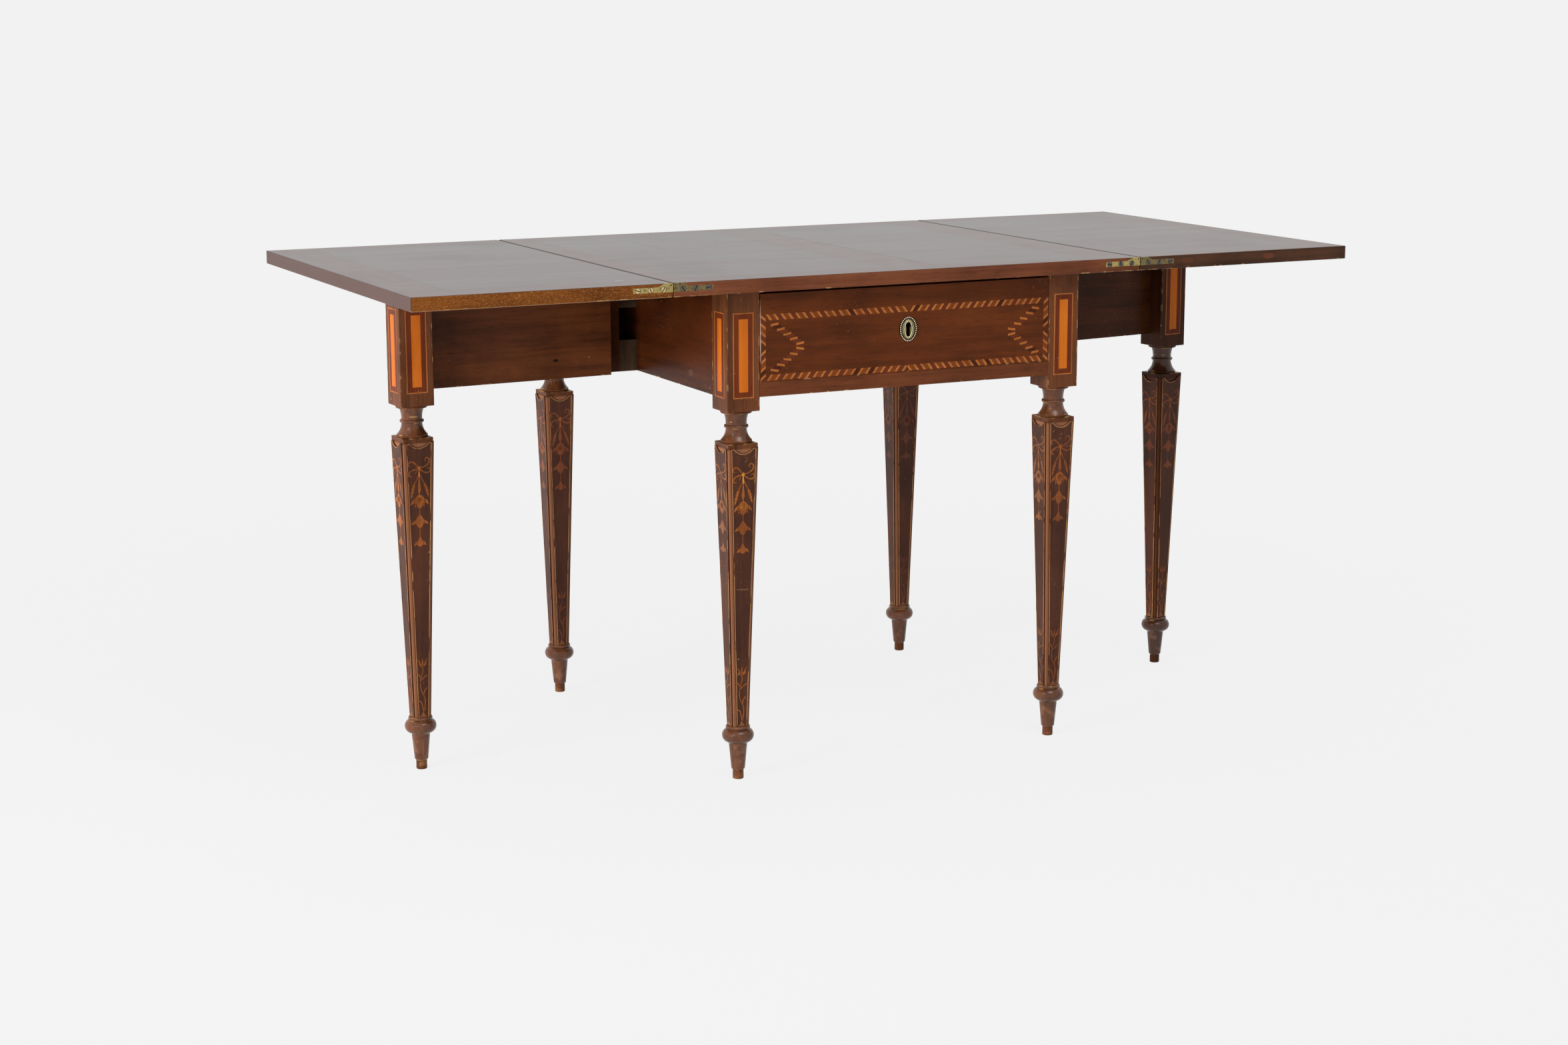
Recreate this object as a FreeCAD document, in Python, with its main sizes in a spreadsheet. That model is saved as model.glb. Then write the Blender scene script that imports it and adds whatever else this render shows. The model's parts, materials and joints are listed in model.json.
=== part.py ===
import FreeCAD
import Part
import Sketcher
import os
import re

# A games table in mahogany, in millimetres: +Z up, front towards -Y, origin on the floor under the middle.
# Two leaves fold over the middle of the top on double-pin brass hinges, two gate legs swing out to carry
# them, and a drawer slides out of the front.
SIZES = {
    # top
    "table_height": 780,
    "top_length": 805,
    "top_depth": 738,
    "top_thickness": 21,
    "leaf_width": 400,
    "leaf_gap": 1.2,
    "joint_round": 3,
    "edge_round": 1.2,
    # leg blocks and their places
    "leg_block": 54,
    "block_height": 182,
    "block_round": 1,
    "front_leg_spacing": 558,
    "front_inset": 26,
    "back_inset": 45,
    "gate_clearance": 1,
    # turned neck under the block
    "collar_diameter": 48.5,
    "collar_height": 4,
    "cavetto_top_diameter": 38,
    "cavetto_diameter": 33,
    "cavetto_height": 18,
    "neck_diameter": 32,
    "ring_diameter": 37.5,
    "ring_height": 5,
    "flare_diameter": 35,
    "flare_height": 17.5,
    "lip_diameter": 48,
    "lip_height": 4.5,
    # tapered shaft with its applied veneers
    "shaft_top_width": 49,
    "shaft_foot_width": 24,
    "veneer_thickness": 2.6,
    "veneer_margin": 3.6,
    "ear_drop": 6.5,
    "scallop_width": 31,
    "scallop_drop": 8,
    # turned foot
    "foot_height": 85,
    "foot_ring_diameter": 38,
    "foot_ring_height": 5,
    "bulb_diameter": 49.5,
    "bulb_height": 21,
    "bulb_base_diameter": 33,
    "ankle_diameter": 28.5,
    "ankle_drop": 4,
    "toe_diameter": 21.5,
    "toe_round": 3,
    "peg_diameter": 17,
    "peg_height": 15,
    "peg_bevel": 0.8,
    # rails
    "rail_height": 161,
    "rail_thickness": 22,
    "front_rail_height": 22,
    "tenon_thickness": 8,
    "tenon_length": 22,
    "tenon_shoulder": 14,
    "front_tenon_shoulder": 9,
    "stub_length": 8,
    "joint_fit": 0.1,
    # gates
    "gate_thickness": 24,
    "hinge_rail_length": 270,
    "arm_length": 313,
    "gate_top_clearance": 0.4,
    "gate_end_clearance": 0.5,
    "pin_proud": 2,
    "left_opening": 87,
    "right_opening": 97,
    "rail_block_length": 60,
    "lower_block_height": 50,
    "upper_block_height": 59,
    # butt hinges of the gates
    "butt_height": 48,
    "butt_width": 24,
    "butt_plate": 1.6,
    "butt_knuckle_diameter": 6.4,
    "butt_pin_diameter": 3,
    "butt_end_distance": 18,
    "butt_clearance": 0.3,
    # card-table hinges of the leaves
    "pin_depth": 3,
    "leaf_pin_diameter": 2.4,
    "plate_length": 63,
    "plate_height": 8,
    "plate_drop": 5,
    "plate_thickness": 2.5,
    "head_length": 14,
    "head_height": 13.5,
    "head_shoulder": 9,
    "head_depth": 8,
    "link_radius": 2.6,
    "link_thickness": 2.6,
    "link_clearance": 0.15,
    "pin_clearance": 0.05,
    # wood screws
    "screw_head_diameter": 7.8,
    "screw_head_depth": 2,
    "screw_shank_diameter": 3.4,
    "screw_length": 15,
    "screw_slot_width": 1.3,
    "screw_slot_depth": 0.9,
    "screw_turn": 55,
    "screw_first": 15,
    "screw_pitch": 20.5,
    # drawer and what carries it
    "drawer_clearance": 1,
    "drawer_top_gap": 6,
    "drawer_front_thickness": 22,
    "drawer_side_thickness": 12,
    "drawer_depth": 500,
    "drawer_side_drop": 14,
    "drawer_bottom_thickness": 7,
    "drawer_bottom_lift": 9,
    "drawer_groove": 5,
    "dovetail_count": 3,
    "dovetail_length": 14,
    "dovetail_width": 22,
    "dovetail_flare": 4,
    "drawer_back_thickness": 12,
    "slide_clearance": 0.3,
    "runner_width": 58,
    "runner_thickness": 14,
    "guide_height": 18,
    "guide_clearance": 0.5,
    "kicker_width": 44,
    "kicker_thickness": 16,
    "stop_width": 40,
    "stop_depth": 18,
    "stop_height": 6,
    "stop_spread": 120,
    "corner_block_leg": 45,
    "corner_block_height": 80,
    "top_screw_diameter": 4.5,
    "top_screw_head_diameter": 9,
    "top_screw_head_height": 3,
    "top_screw_length": 27,
    "top_screw_reach": 200,
    # lock and escutcheon
    "lock_width": 62,
    "lock_thickness": 12,
    "lock_drop": 26,
    "bolt_width": 26,
    "bolt_thickness": 5,
    "bolt_height": 24,
    "escutcheon_width": 29.4,
    "escutcheon_height": 38.4,
    "escutcheon_thickness": 1.6,
    "escutcheon_rim": 2.6,
    "escutcheon_dish": 0.6,
    "escutcheon_lift": 71.7,
    "keyhole_diameter": 8.8,
    "keyhole_slot": 6.2,
    "keyhole_drop": 17.4,
    "escutcheon_pin_diameter": 1.6,
    "escutcheon_pin_length": 9,
    "escutcheon_pin_inset": 4.2,
}

# Places and sizes that follow from the driving ones.
DERIVED = {
    "underside": "table_height - top_thickness",
    "block_bottom": "underside - block_height",
    "rail_bottom": "underside - rail_height",
    "collar_bottom": "block_bottom - collar_height",
    "ring_top": "collar_bottom - cavetto_height",
    "flare_top": "ring_top - ring_height",
    "lip_top": "flare_top - flare_height",
    "shaft_top": "lip_top - lip_height",
    "foot_ring_bottom": "foot_height - foot_ring_height",
    "bulb_bottom": "foot_ring_bottom - bulb_height",
    "veneer_top": "shaft_top - ear_drop",
    "shaft_taper": "(shaft_top_width - shaft_foot_width) / (shaft_top - foot_height)",
    "veneer_top_width": "shaft_top_width - shaft_taper * ear_drop",
    "scallop_radius": "(scallop_width ^ 2 / 4 + scallop_drop ^ 2) / scallop_drop / 2",
    "half_block": "leg_block / 2",
    "front_leg_x": "front_leg_spacing / 2",
    "front_leg_y": "front_inset + half_block - top_depth / 2",
    "back_leg_x": "front_leg_x + leg_block + gate_clearance",
    "back_leg_y": "top_depth / 2 - back_inset - half_block",
    "front_face": "front_inset - top_depth / 2",
    "side_face": "front_leg_x + half_block",
    "side_inside": "side_face - rail_thickness",
    "back_rail_inside": "back_leg_y + half_block - rail_thickness",
    "gate_face": "back_leg_x + half_block",
    "gate_inside": "gate_face - gate_thickness",
    "pivot_x": "gate_face + pin_proud",
    "pivot_y": "back_leg_y - half_block - hinge_rail_length",
    "gate_leg_y": "pivot_y - arm_length - half_block",
    "gate_top": "underside - gate_top_clearance",
    "half_tenon": "tenon_thickness / 2",
    "tenon_bottom": "rail_bottom + tenon_shoulder",
    "tenon_top": "underside - tenon_shoulder",
    "rail_middle": "half_block - rail_thickness / 2",
    "gate_middle": "half_block - gate_thickness / 2",
    "joint_x": "top_length / 2 + leaf_gap / 2",
    "pin_x": "top_length / 2 - pin_depth",
    "leaf_pin_x": "top_length / 2 + leaf_gap + pin_depth",
    "pin_z": "table_height - pin_depth",
    "front_edge": "-top_depth / 2",
    "link_front": "front_edge + (head_depth - link_thickness) / 2",
    "drawer_half": "front_leg_x - half_block - drawer_clearance",
    "runner_top": "rail_bottom + front_rail_height",
    "drawer_bottom_edge": "runner_top + slide_clearance",
    "drawer_top_edge": "underside - drawer_top_gap",
    "drawer_side_top": "drawer_top_edge - drawer_side_drop",
    "drawer_inside": "drawer_half - drawer_side_thickness",
    "drawer_front_back": "front_face + drawer_front_thickness",
    "drawer_end": "front_face + drawer_depth",
    "drawer_floor": "drawer_bottom_edge + drawer_bottom_lift",
    "keyhole_z": "drawer_bottom_edge + escutcheon_lift",
    "escutcheon_z": "keyhole_z - keyhole_drop / 3",
    "lock_bottom": "keyhole_z - lock_drop",
    "dovetail_pitch": "(drawer_side_top - drawer_bottom_edge) / dovetail_count",
    "dovetail_z": "drawer_bottom_edge + dovetail_pitch / 2",
    "rail_front": "front_leg_y + half_block",
    "kicker_bottom": "underside - kicker_thickness",
    "knuckle_radius": "butt_knuckle_diameter / 2",
    "screw_z": "table_height - plate_drop - plate_height / 2",
    "quarter": "1 - cos(45 deg)",
}

WORD = re.compile(r"[a-z][a-z_]+")

doc = FreeCAD.newDocument("GamesTable")
sheet = doc.addObject("Spreadsheet::Sheet", "Sizes")
for row, (alias, number) in enumerate(SIZES.items(), 1):
    sheet.set(f"A{row}", alias)
    sheet.set(f"B{row}", str(number))
    sheet.setAlias(f"B{row}", alias)
doc.recompute()
pieces = []


def formula(text):
    """A formula in size names, written out in cells of the sheet."""
    def cell(match):
        word = match.group(0)
        if word in DERIVED:
            return f"({formula(DERIVED[word])})"
        return f"Sizes.{word}" if word in SIZES else word
    return WORD.sub(cell, str(text))


def value(text):
    """The number that a formula gives now."""
    return float(sheet.evalExpression(formula(text)))


def bind(thing, formulas):
    """Tie properties of an object to formulas."""
    for name, text in formulas.items():
        thing.setExpression(name, formula(text))
    return thing


def sub_part(thing, label):
    """Name a finished sub-part."""
    thing.Label = label
    pieces.append(thing)
    return thing


def box(name, x, y, z):
    """A block between pairs of formulas along X, Y and Z."""
    return bind(doc.addObject("Part::Box", name), {
        "Length": f"({x[1]}) - ({x[0]})",
        "Width": f"({y[1]}) - ({y[0]})",
        "Height": f"({z[1]}) - ({z[0]})",
        "Placement.Base.x": x[0],
        "Placement.Base.y": y[0],
        "Placement.Base.z": z[0],
    })


# Turns that carry a cylinder's own Z axis onto X, -X, Y, -Y and Z.
TURNS = {
    "X": FreeCAD.Rotation(FreeCAD.Vector(0, 1, 0), 90),
    "-X": FreeCAD.Rotation(FreeCAD.Vector(0, 1, 0), -90),
    "Y": FreeCAD.Rotation(FreeCAD.Vector(1, 0, 0), -90),
    "-Y": FreeCAD.Rotation(FreeCAD.Vector(1, 0, 0), 90),
    "Z": FreeCAD.Rotation(),
}


def round_bar(name, diameter, length, start, axis, end_diameter=None):
    """A cylinder, or a cone where the end differs, from a start point along an axis."""
    kind = "Part::Cylinder" if end_diameter is None else "Part::Cone"
    bar = doc.addObject(kind, name)
    bar.Placement = FreeCAD.Placement(FreeCAD.Vector(), TURNS[axis])
    if end_diameter is None:
        bind(bar, {"Radius": f"({diameter}) / 2"})
    else:
        bind(bar, {"Radius1": f"({diameter}) / 2", "Radius2": f"({end_diameter}) / 2"})
    return bind(bar, {
        "Height": length,
        "Placement.Base.x": start[0],
        "Placement.Base.y": start[1],
        "Placement.Base.z": start[2],
    })


def cut(name, base, *tools):
    """One object less others."""
    made = doc.addObject("Part::Cut", name)
    made.Base = base
    made.Tool = tools[0] if len(tools) == 1 else fuse(f"{name}Tools", *tools)
    return made


def fuse(name, *shapes):
    """Several objects as one solid."""
    made = doc.addObject("Part::MultiFuse", name)
    made.Shapes = list(shapes)
    return made


def group(name, *shapes):
    """Separate solids in one sub-part."""
    made = doc.addObject("Part::Compound", name)
    made.Links = list(shapes)
    return made


def mirrored(name, source, normal, plane_x="0"):
    """A mirror copy, across X or Y, in a plane through the middle or at a place along X."""
    made = doc.addObject("Part::Mirroring", name)
    made.Source = source
    made.Normal = normal
    return bind(made, {"Base.x": plane_x})


ACROSS_X = FreeCAD.Vector(1, 0, 0)
ACROSS_Y = FreeCAD.Vector(0, 1, 0)


def on_side(side, low, high):
    """A span given outwards from the middle, on the left or the right."""
    return (low, high) if side == "right" else (f"-({high})", f"-({low})")


def at_side(side, place):
    """A place given outwards from the middle, on the left or the right."""
    return place if side == "right" else f"-({place})"


def origin_plane(body, role):
    """One of a body's own origin planes."""
    return next(plane for plane in body.Origin.OriginFeatures if plane.Role == role)


def outline(body, name, role, points, offset="0"):
    """A closed sketch through points; a point with four values is reached by an arc through the last two.
    A sketch's arcs run anticlockwise, so an arc that turns the other way is drawn from its far end."""
    sketch = body.newObject("Sketcher::SketchObject", name)
    sketch.AttachmentSupport = [(origin_plane(body, role), "")]
    sketch.MapMode = "FlatFace"
    bind(sketch, {"AttachmentOffset.Base.z": offset})
    places = [FreeCAD.Vector(value(point[0]), value(point[1]), 0) for point in points]
    backwards = []
    for index, point in enumerate(points):
        start = places[index - 1]
        end = places[index]
        if len(point) == 2:
            backwards.append(False)
            sketch.addGeometry(Part.LineSegment(start, end))
            continue
        crown = FreeCAD.Vector(value(point[2]), value(point[3]), 0)
        backwards.append((crown - start).cross(end - crown).z < 0)
        sketch.addGeometry(Part.Arc(end, crown, start) if backwards[-1] else Part.Arc(start, crown, end))
    for index, point in enumerate(points):
        after = (index + 1) % len(points)
        last = 1 if backwards[index] else 2
        first = 2 if backwards[after] else 1
        sketch.addConstraint(Sketcher.Constraint("Coincident", index, last, after, first))
        fix_point(sketch, index, last, point[0], point[1])
        if len(point) == 4:
            crown = FreeCAD.Vector(value(point[2]), value(point[3]), 0)
            mark = sketch.addGeometry(Part.Point(crown), True)
            fix_point(sketch, mark, 1, point[2], point[3])
            sketch.addConstraint(Sketcher.Constraint("PointOnObject", mark, 1, index))
    return sketch


def fix_point(sketch, index, end, x, y):
    """Tie one point of a sketch to formulas for its two coordinates."""
    for kind, text in (("DistanceX", x), ("DistanceY", y)):
        dimension = sketch.addConstraint(Sketcher.Constraint(kind, -1, 1, index, end, value(text)))
        sketch.setExpression(f"Constraints[{dimension}]", formula(text))


def new_body(name):
    return doc.addObject("PartDesign::Body", name)


def pad(body, name, sketch, length, both_ways=False, backwards=False):
    """A sketch drawn out by a length."""
    made = body.newObject("PartDesign::Pad", name)
    made.Profile = sketch
    made.Midplane = both_ways
    made.Reversed = backwards
    return bind(made, {"Length": length})


def turn(body, name, sketch):
    """A sketch turned about the upright axis."""
    made = body.newObject("PartDesign::Revolution", name)
    made.Profile = sketch
    made.ReferenceAxis = (sketch, ["V_Axis"])
    made.Angle = 360
    return made


def round_edges(body, name, feature, radius, wanted):
    """Fillets on the edges of a feature that a test picks."""
    doc.recompute()
    edges = [f"Edge{number}" for number, edge in enumerate(feature.Shape.Edges, 1) if wanted(edge)]
    made = body.newObject("PartDesign::Fillet", name)
    made.Base = (feature, edges)
    return bind(made, {"Radius": radius})


def square(side):
    """Corners of a square about the origin."""
    half = f"({side}) / 2"
    return [(f"-({half})", f"-({half})"), (half, f"-({half})"), (half, half), (f"-({half})", half)]


def swing(thing, side, x="0", y="0"):
    """Turn a gate's piece, drawn with the gate shut, about the gate's pin to where the gate stands open."""
    turned = f"-{formula('left_opening')}" if side == "left" else formula("right_opening")
    pin = at_side(side, "pivot_x")
    thing.setExpression("Placement", (
        f"create(<<placement>>; create(<<vector>>; {formula(x)}; {formula(y)}; 0); "
        f"create(<<rotation>>; create(<<vector>>; 0; 0; 1); {turned}); "
        f"create(<<vector>>; {formula(pin)} - ({formula(x)}); {formula('pivot_y')} - ({formula(y)}); 0))"))
    return thing


# One leg about its own axis: the square block, the turned neck, the tapered shaft and the turned foot.
leg = new_body("Leg")
block_square = outline(leg, "BlockSquare", "XY_Plane", square("leg_block"), "block_bottom")
block = pad(leg, "Block", block_square, "block_height")
round_edges(leg, "BlockArrises", block, "block_round",
            lambda edge: edge.BoundBox.ZMin < value("underside - block_round"))
neck_profile = outline(leg, "NeckProfile", "XZ_Plane", [
    ("0", "shaft_top"),
    ("lip_diameter / 2 - lip_height / 4", "shaft_top"),
    ("lip_diameter / 2 - lip_height / 4", "lip_top", "lip_diameter / 2", "shaft_top + lip_height / 2"),
    ("neck_diameter / 2", "flare_top", "flare_diameter / 2", "lip_top + flare_height / 2"),
    ("neck_diameter / 2", "ring_top", "ring_diameter / 2", "flare_top + ring_height / 2"),
    ("cavetto_top_diameter / 2", "collar_bottom", "cavetto_diameter / 2", "ring_top + cavetto_height / 2"),
    ("collar_diameter / 2 - collar_height / 4", "collar_bottom"),
    ("collar_diameter / 2 - collar_height / 4", "block_bottom",
     "collar_diameter / 2", "block_bottom - collar_height / 2"),
    ("0", "block_bottom"),
])
turn(leg, "Neck", neck_profile)
shaft = leg.newObject("PartDesign::AdditiveLoft", "Shaft")
shaft.Profile = outline(leg, "ShaftFoot", "XY_Plane", square("shaft_foot_width"), "foot_height")
shaft.Sections = [outline(leg, "ShaftTop", "XY_Plane", square("shaft_top_width"), "shaft_top")]
shaft.Ruled = True
foot_profile = outline(leg, "FootProfile", "XZ_Plane", [
    ("0", "0"),
    ("peg_diameter / 2 - peg_bevel", "0"),
    ("peg_diameter / 2", "peg_bevel"),
    ("peg_diameter / 2", "peg_height"),
    ("toe_diameter / 2", "peg_height + toe_round",
     "toe_diameter / 2 - (toe_diameter - peg_diameter) / 2 * quarter", "peg_height + toe_round * quarter"),
    ("ankle_diameter / 2", "bulb_bottom - ankle_drop"),
    ("bulb_base_diameter / 2", "bulb_bottom",
     "ankle_diameter / 2 + (bulb_base_diameter - ankle_diameter) / 2 * quarter",
     "bulb_bottom - ankle_drop * quarter"),
    ("foot_ring_diameter / 2 - foot_ring_height / 4", "foot_ring_bottom",
     "bulb_diameter / 2", "bulb_bottom + bulb_height / 2"),
    ("foot_ring_diameter / 2 - foot_ring_height / 4", "foot_height",
     "foot_ring_diameter / 2", "foot_ring_bottom + foot_ring_height / 2"),
    ("0", "foot_height"),
])
leg.Tip = turn(leg, "Foot", foot_profile)

# The four shaft veneers of a leg: thin tapered plates set in from the corners, each with two ears at the top
# and a round scallop between them.
plates = []
for number in range(4):
    plate = doc.addObject("Part::Wedge", f"VeneerPlate{number}")
    plate.Placement = FreeCAD.Placement(
        FreeCAD.Vector(), FreeCAD.Rotation(FreeCAD.Vector(0, 0, 1), 90 * number).multiply(TURNS["-Y"]))
    bind(plate, {
        "Ymin": "foot_height",
        "Ymax": "veneer_top",
        "Xmin": "veneer_margin - shaft_foot_width / 2",
        "Xmax": "shaft_foot_width / 2 - veneer_margin",
        "X2min": "veneer_margin - veneer_top_width / 2",
        "X2max": "veneer_top_width / 2 - veneer_margin",
        "Zmin": "shaft_foot_width / 2",
        "Zmax": "shaft_foot_width / 2 + veneer_thickness",
        "Z2min": "veneer_top_width / 2",
        "Z2max": "veneer_top_width / 2 + veneer_thickness",
    })
    axis = ("-Y", "X", "Y", "-X")[number]
    scallop = round_bar(f"Scallop{number}", "scallop_radius * 2", "shaft_top_width",
                        ("0", "0", "veneer_top + scallop_radius - scallop_drop"), axis)
    plates.append(cut(f"Veneer{number}", plate, scallop))
leg_veneers = group("LegVeneers", *plates)

SIDES = ("left", "right")


# Mortises cut in a leg about its own axis. Each takes a tenon with the joint's fit all round.
def rail_mortise(name, across, along):
    return box(name, across, along, ("tenon_bottom - joint_fit", "tenon_top + joint_fit"))


def around(middle):
    """The width of a mortise about the middle of its rail."""
    return f"{middle} - half_tenon - joint_fit", f"{middle} + half_tenon + joint_fit"


INTO_BACK = ("half_block - tenon_length - joint_fit", "leg_block")
INTO_FRONT = ("-leg_block", "tenon_length + joint_fit - half_block")

# The four fixed legs and the two gate legs, with the veneers of each.
for side in SIDES:
    title = side.title()
    inwards = on_side(side, *INTO_FRONT)
    front_mortises = [
        rail_mortise(f"{title}SideMortise", on_side(side, *around("rail_middle")), INTO_BACK),
        box(f"{title}FrontRailMortise", inwards,
            ("front_tenon_shoulder - half_block - joint_fit",
             "half_block - front_tenon_shoulder + joint_fit"),
            around("rail_bottom + front_rail_height / 2")),
    ]
    back_mortises = [
        rail_mortise(f"{title}HingeRailMortise", on_side(side, *around("gate_middle")), INTO_FRONT),
        rail_mortise(f"{title}BackRailMortise", inwards, around("rail_middle")),
    ]
    gate_cuts = [
        rail_mortise(f"{title}ArmMortise", on_side(side, *around("gate_middle")), INTO_BACK),
        box(f"{title}GateTrim", ("-leg_block", "leg_block"), ("-leg_block", "leg_block"),
            ("gate_top", "table_height")),
    ]
    for row, x, y, cuts in (("front", "front_leg_x", "front_leg_y", front_mortises),
                            ("back", "back_leg_x", "back_leg_y", back_mortises)):
        place = {"Placement.Base.x": at_side(side, x), "Placement.Base.y": y}
        name = f"{row.title()}{title}Leg"
        sub_part(bind(cut(name, leg, *cuts), place), f"{row}_{side}_leg")
        sub_part(bind(group(f"{name}Veneers", leg_veneers), place), f"{row}_{side}_leg_veneers")
    gate_x = at_side(side, "back_leg_x")
    gate_leg = cut(f"{title}GateLeg", leg, *gate_cuts)
    gate_veneers = group(f"{title}GateLegVeneers", leg_veneers)
    sub_part(swing(gate_leg, side, gate_x, "gate_leg_y"), f"{side}_gate_leg")
    sub_part(swing(gate_veneers, side, gate_x, "gate_leg_y"), f"{side}_gate_leg_veneers")

# The front rail under the drawer, tenoned into both front legs.
front_span = "front_leg_x - half_block"
front_middle = "rail_bottom + front_rail_height / 2"
front_rail = fuse(
    "FrontRail",
    box("FrontRailBoard", (f"-({front_span})", front_span),
        ("front_face", "rail_front"), ("rail_bottom", "runner_top")),
    box("FrontRailTenons", (f"-({front_span} + tenon_length)", f"{front_span} + tenon_length"),
        ("front_face + front_tenon_shoulder", "rail_front - front_tenon_shoulder"),
        (f"{front_middle} - half_tenon", f"{front_middle} + half_tenon")))
sub_part(front_rail, "front_rail")

# The side rails, flush with the outer faces of the front legs, run back past the inner faces of the back legs
# and are stub-tenoned into the back rail.
rail_z = ("rail_bottom", "underside")
tenon_z = ("tenon_bottom", "tenon_top")
side_rails = {}
side_middle = "side_face - rail_thickness / 2"
for side in SIDES:
    title = side.title()
    side_rails[side] = fuse(
        f"{title}SideRail",
        box(f"{title}SideBoard", on_side(side, "side_inside", "side_face"),
            ("rail_front", "back_rail_inside"), rail_z),
        box(f"{title}SideTenons", on_side(side, f"{side_middle} - half_tenon", f"{side_middle} + half_tenon"),
            ("rail_front - tenon_length", "back_rail_inside + stub_length"), tenon_z))
    sub_part(side_rails[side], f"{side}_side_rail")

# The back rail between the back legs, housed for the side rails.
back_span = "back_leg_x - half_block"
back_middle = "back_leg_y + rail_middle"
back_board = fuse(
    "BackBoard",
    box("BackRailBoard", (f"-({back_span})", back_span),
        ("back_rail_inside", "back_leg_y + half_block"), rail_z),
    box("BackRailTenons", (f"-({back_span} + tenon_length)", f"{back_span} + tenon_length"),
        (f"{back_middle} - half_tenon", f"{back_middle} + half_tenon"), tenon_z))
sub_part(cut("BackRail", back_board, side_rails["left"], side_rails["right"]), "back_rail")

# The gates. A fixed hinge rail stands out from each side rail on two blocks and is tenoned into the back leg.
# The gate's arm hangs on its front end by two butt hinges, with their pins just proud of the outer face.
butt_bottoms = ("rail_bottom + butt_end_distance", "underside - butt_end_distance - butt_height")
rail_end = "pivot_y + gate_end_clearance / 2"
arm_end = "pivot_y - gate_end_clearance / 2"
arm_middle = "gate_face - gate_thickness / 2"
bore_diameter = "butt_pin_diameter + pin_clearance * 2"
hollow_diameter = "butt_knuckle_diameter + butt_clearance * 2"


def butt_leaf(name, side, bottom, way, knuckles, pin):
    """One leaf of a butt hinge: its plate, and a tongue rolled round the pin at each of its own knuckles.
    way is 1 for the leaf on the fixed rail, behind the pin, and -1 for the leaf on the gate's arm."""
    def behind(near, far):
        ends = (f"pivot_y + ({near}) * {way}", f"pivot_y + ({far}) * {way}")
        return ends if way == 1 else ends[::-1]
    across = on_side(side, "gate_face - butt_plate", "gate_face")
    shapes = [box(f"{name}Plate", across, behind("knuckle_radius + butt_clearance", "butt_width"),
                  (bottom, f"{bottom} + butt_height"))]
    for number in knuckles:
        low = f"{bottom} + butt_height / 3 * {number} + butt_clearance / 2"
        tall = "butt_height / 3 - butt_clearance"
        shapes.append(box(f"{name}Tongue{number}", across, behind("0", "knuckle_radius + butt_clearance"),
                          (low, f"{low} + {tall}")))
        shapes.append(round_bar(f"{name}Knuckle{number}", "butt_knuckle_diameter", tall,
                                (at_side(side, "pivot_x"), "pivot_y", low), "Z"))
    return cut(name, fuse(f"{name}Whole", *shapes), pin)


for side in SIDES:
    title = side.title()
    across = on_side(side, "gate_inside", "gate_face")
    tenon_across = on_side(side, f"{arm_middle} - half_tenon", f"{arm_middle} + half_tenon")
    fixed, moving, pins, hollows = [], [], [], []
    for number, bottom in enumerate(butt_bottoms):
        foot = (at_side(side, "pivot_x"), "pivot_y", bottom)
        pin = round_bar(f"{title}ButtPin{number}", "butt_pin_diameter", "butt_height", foot, "Z")
        bore = round_bar(f"{title}ButtBore{number}", bore_diameter, "butt_height", foot, "Z")
        pins.append(pin)
        fixed.append(butt_leaf(f"{title}FixedButt{number}", side, bottom, 1, (0, 2), pin))
        moving.append(butt_leaf(f"{title}MovingButt{number}", side, bottom, -1, (1, ), bore))
        hollows.append(round_bar(f"{title}ButtHollow{number}", hollow_diameter, "butt_height", foot, "Z"))
        hollows.append(box(f"{title}ButtBed{number}",
                           on_side(side, "gate_face - butt_plate", "gate_face + pin_proud"),
                           ("pivot_y - butt_width", "pivot_y + butt_width"),
                           (bottom, f"{bottom} + butt_height")))
    hinge_board = fuse(
        f"{title}HingeBoard",
        box(f"{title}HingeRailBoard", across, (rail_end, "back_leg_y - half_block"), rail_z),
        box(f"{title}HingeRailTenon", tenon_across,
            (rail_end, "back_leg_y - half_block + tenon_length"), tenon_z))
    sub_part(cut(f"{title}HingeRail", hinge_board, *hollows), f"{side}_hinge_rail")
    between = on_side(side, "side_face", "gate_inside")
    block_y = (rail_end, f"{rail_end} + rail_block_length")
    lower_z = ("rail_bottom", "rail_bottom + lower_block_height")
    upper_z = ("underside - upper_block_height", "underside")
    rail_blocks = group(
        f"{title}RailBlocks",
        box(f"{title}LowerBlock", between, block_y, lower_z),
        box(f"{title}UpperBlock", between, block_y, upper_z))
    sub_part(rail_blocks, f"{side}_rail_blocks")
    arm_board = fuse(
        f"{title}ArmBoard",
        box(f"{title}ArmBody", across, ("gate_leg_y + half_block", arm_end), ("rail_bottom", "gate_top")),
        box(f"{title}ArmTenon", tenon_across, ("gate_leg_y + half_block - tenon_length", arm_end), tenon_z))
    sub_part(swing(cut(f"{title}GateArm", arm_board, *hollows), side), f"{side}_gate_arm")
    sub_part(group(f"{title}FixedButts", *fixed), f"{side}_gate_hinge_plates")
    sub_part(group(f"{title}ButtPins", *pins), f"{side}_gate_hinge_pins")
    sub_part(swing(group(f"{title}MovingButts", *moving), side), f"{side}_gate_arm_hinge_plates")

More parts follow.
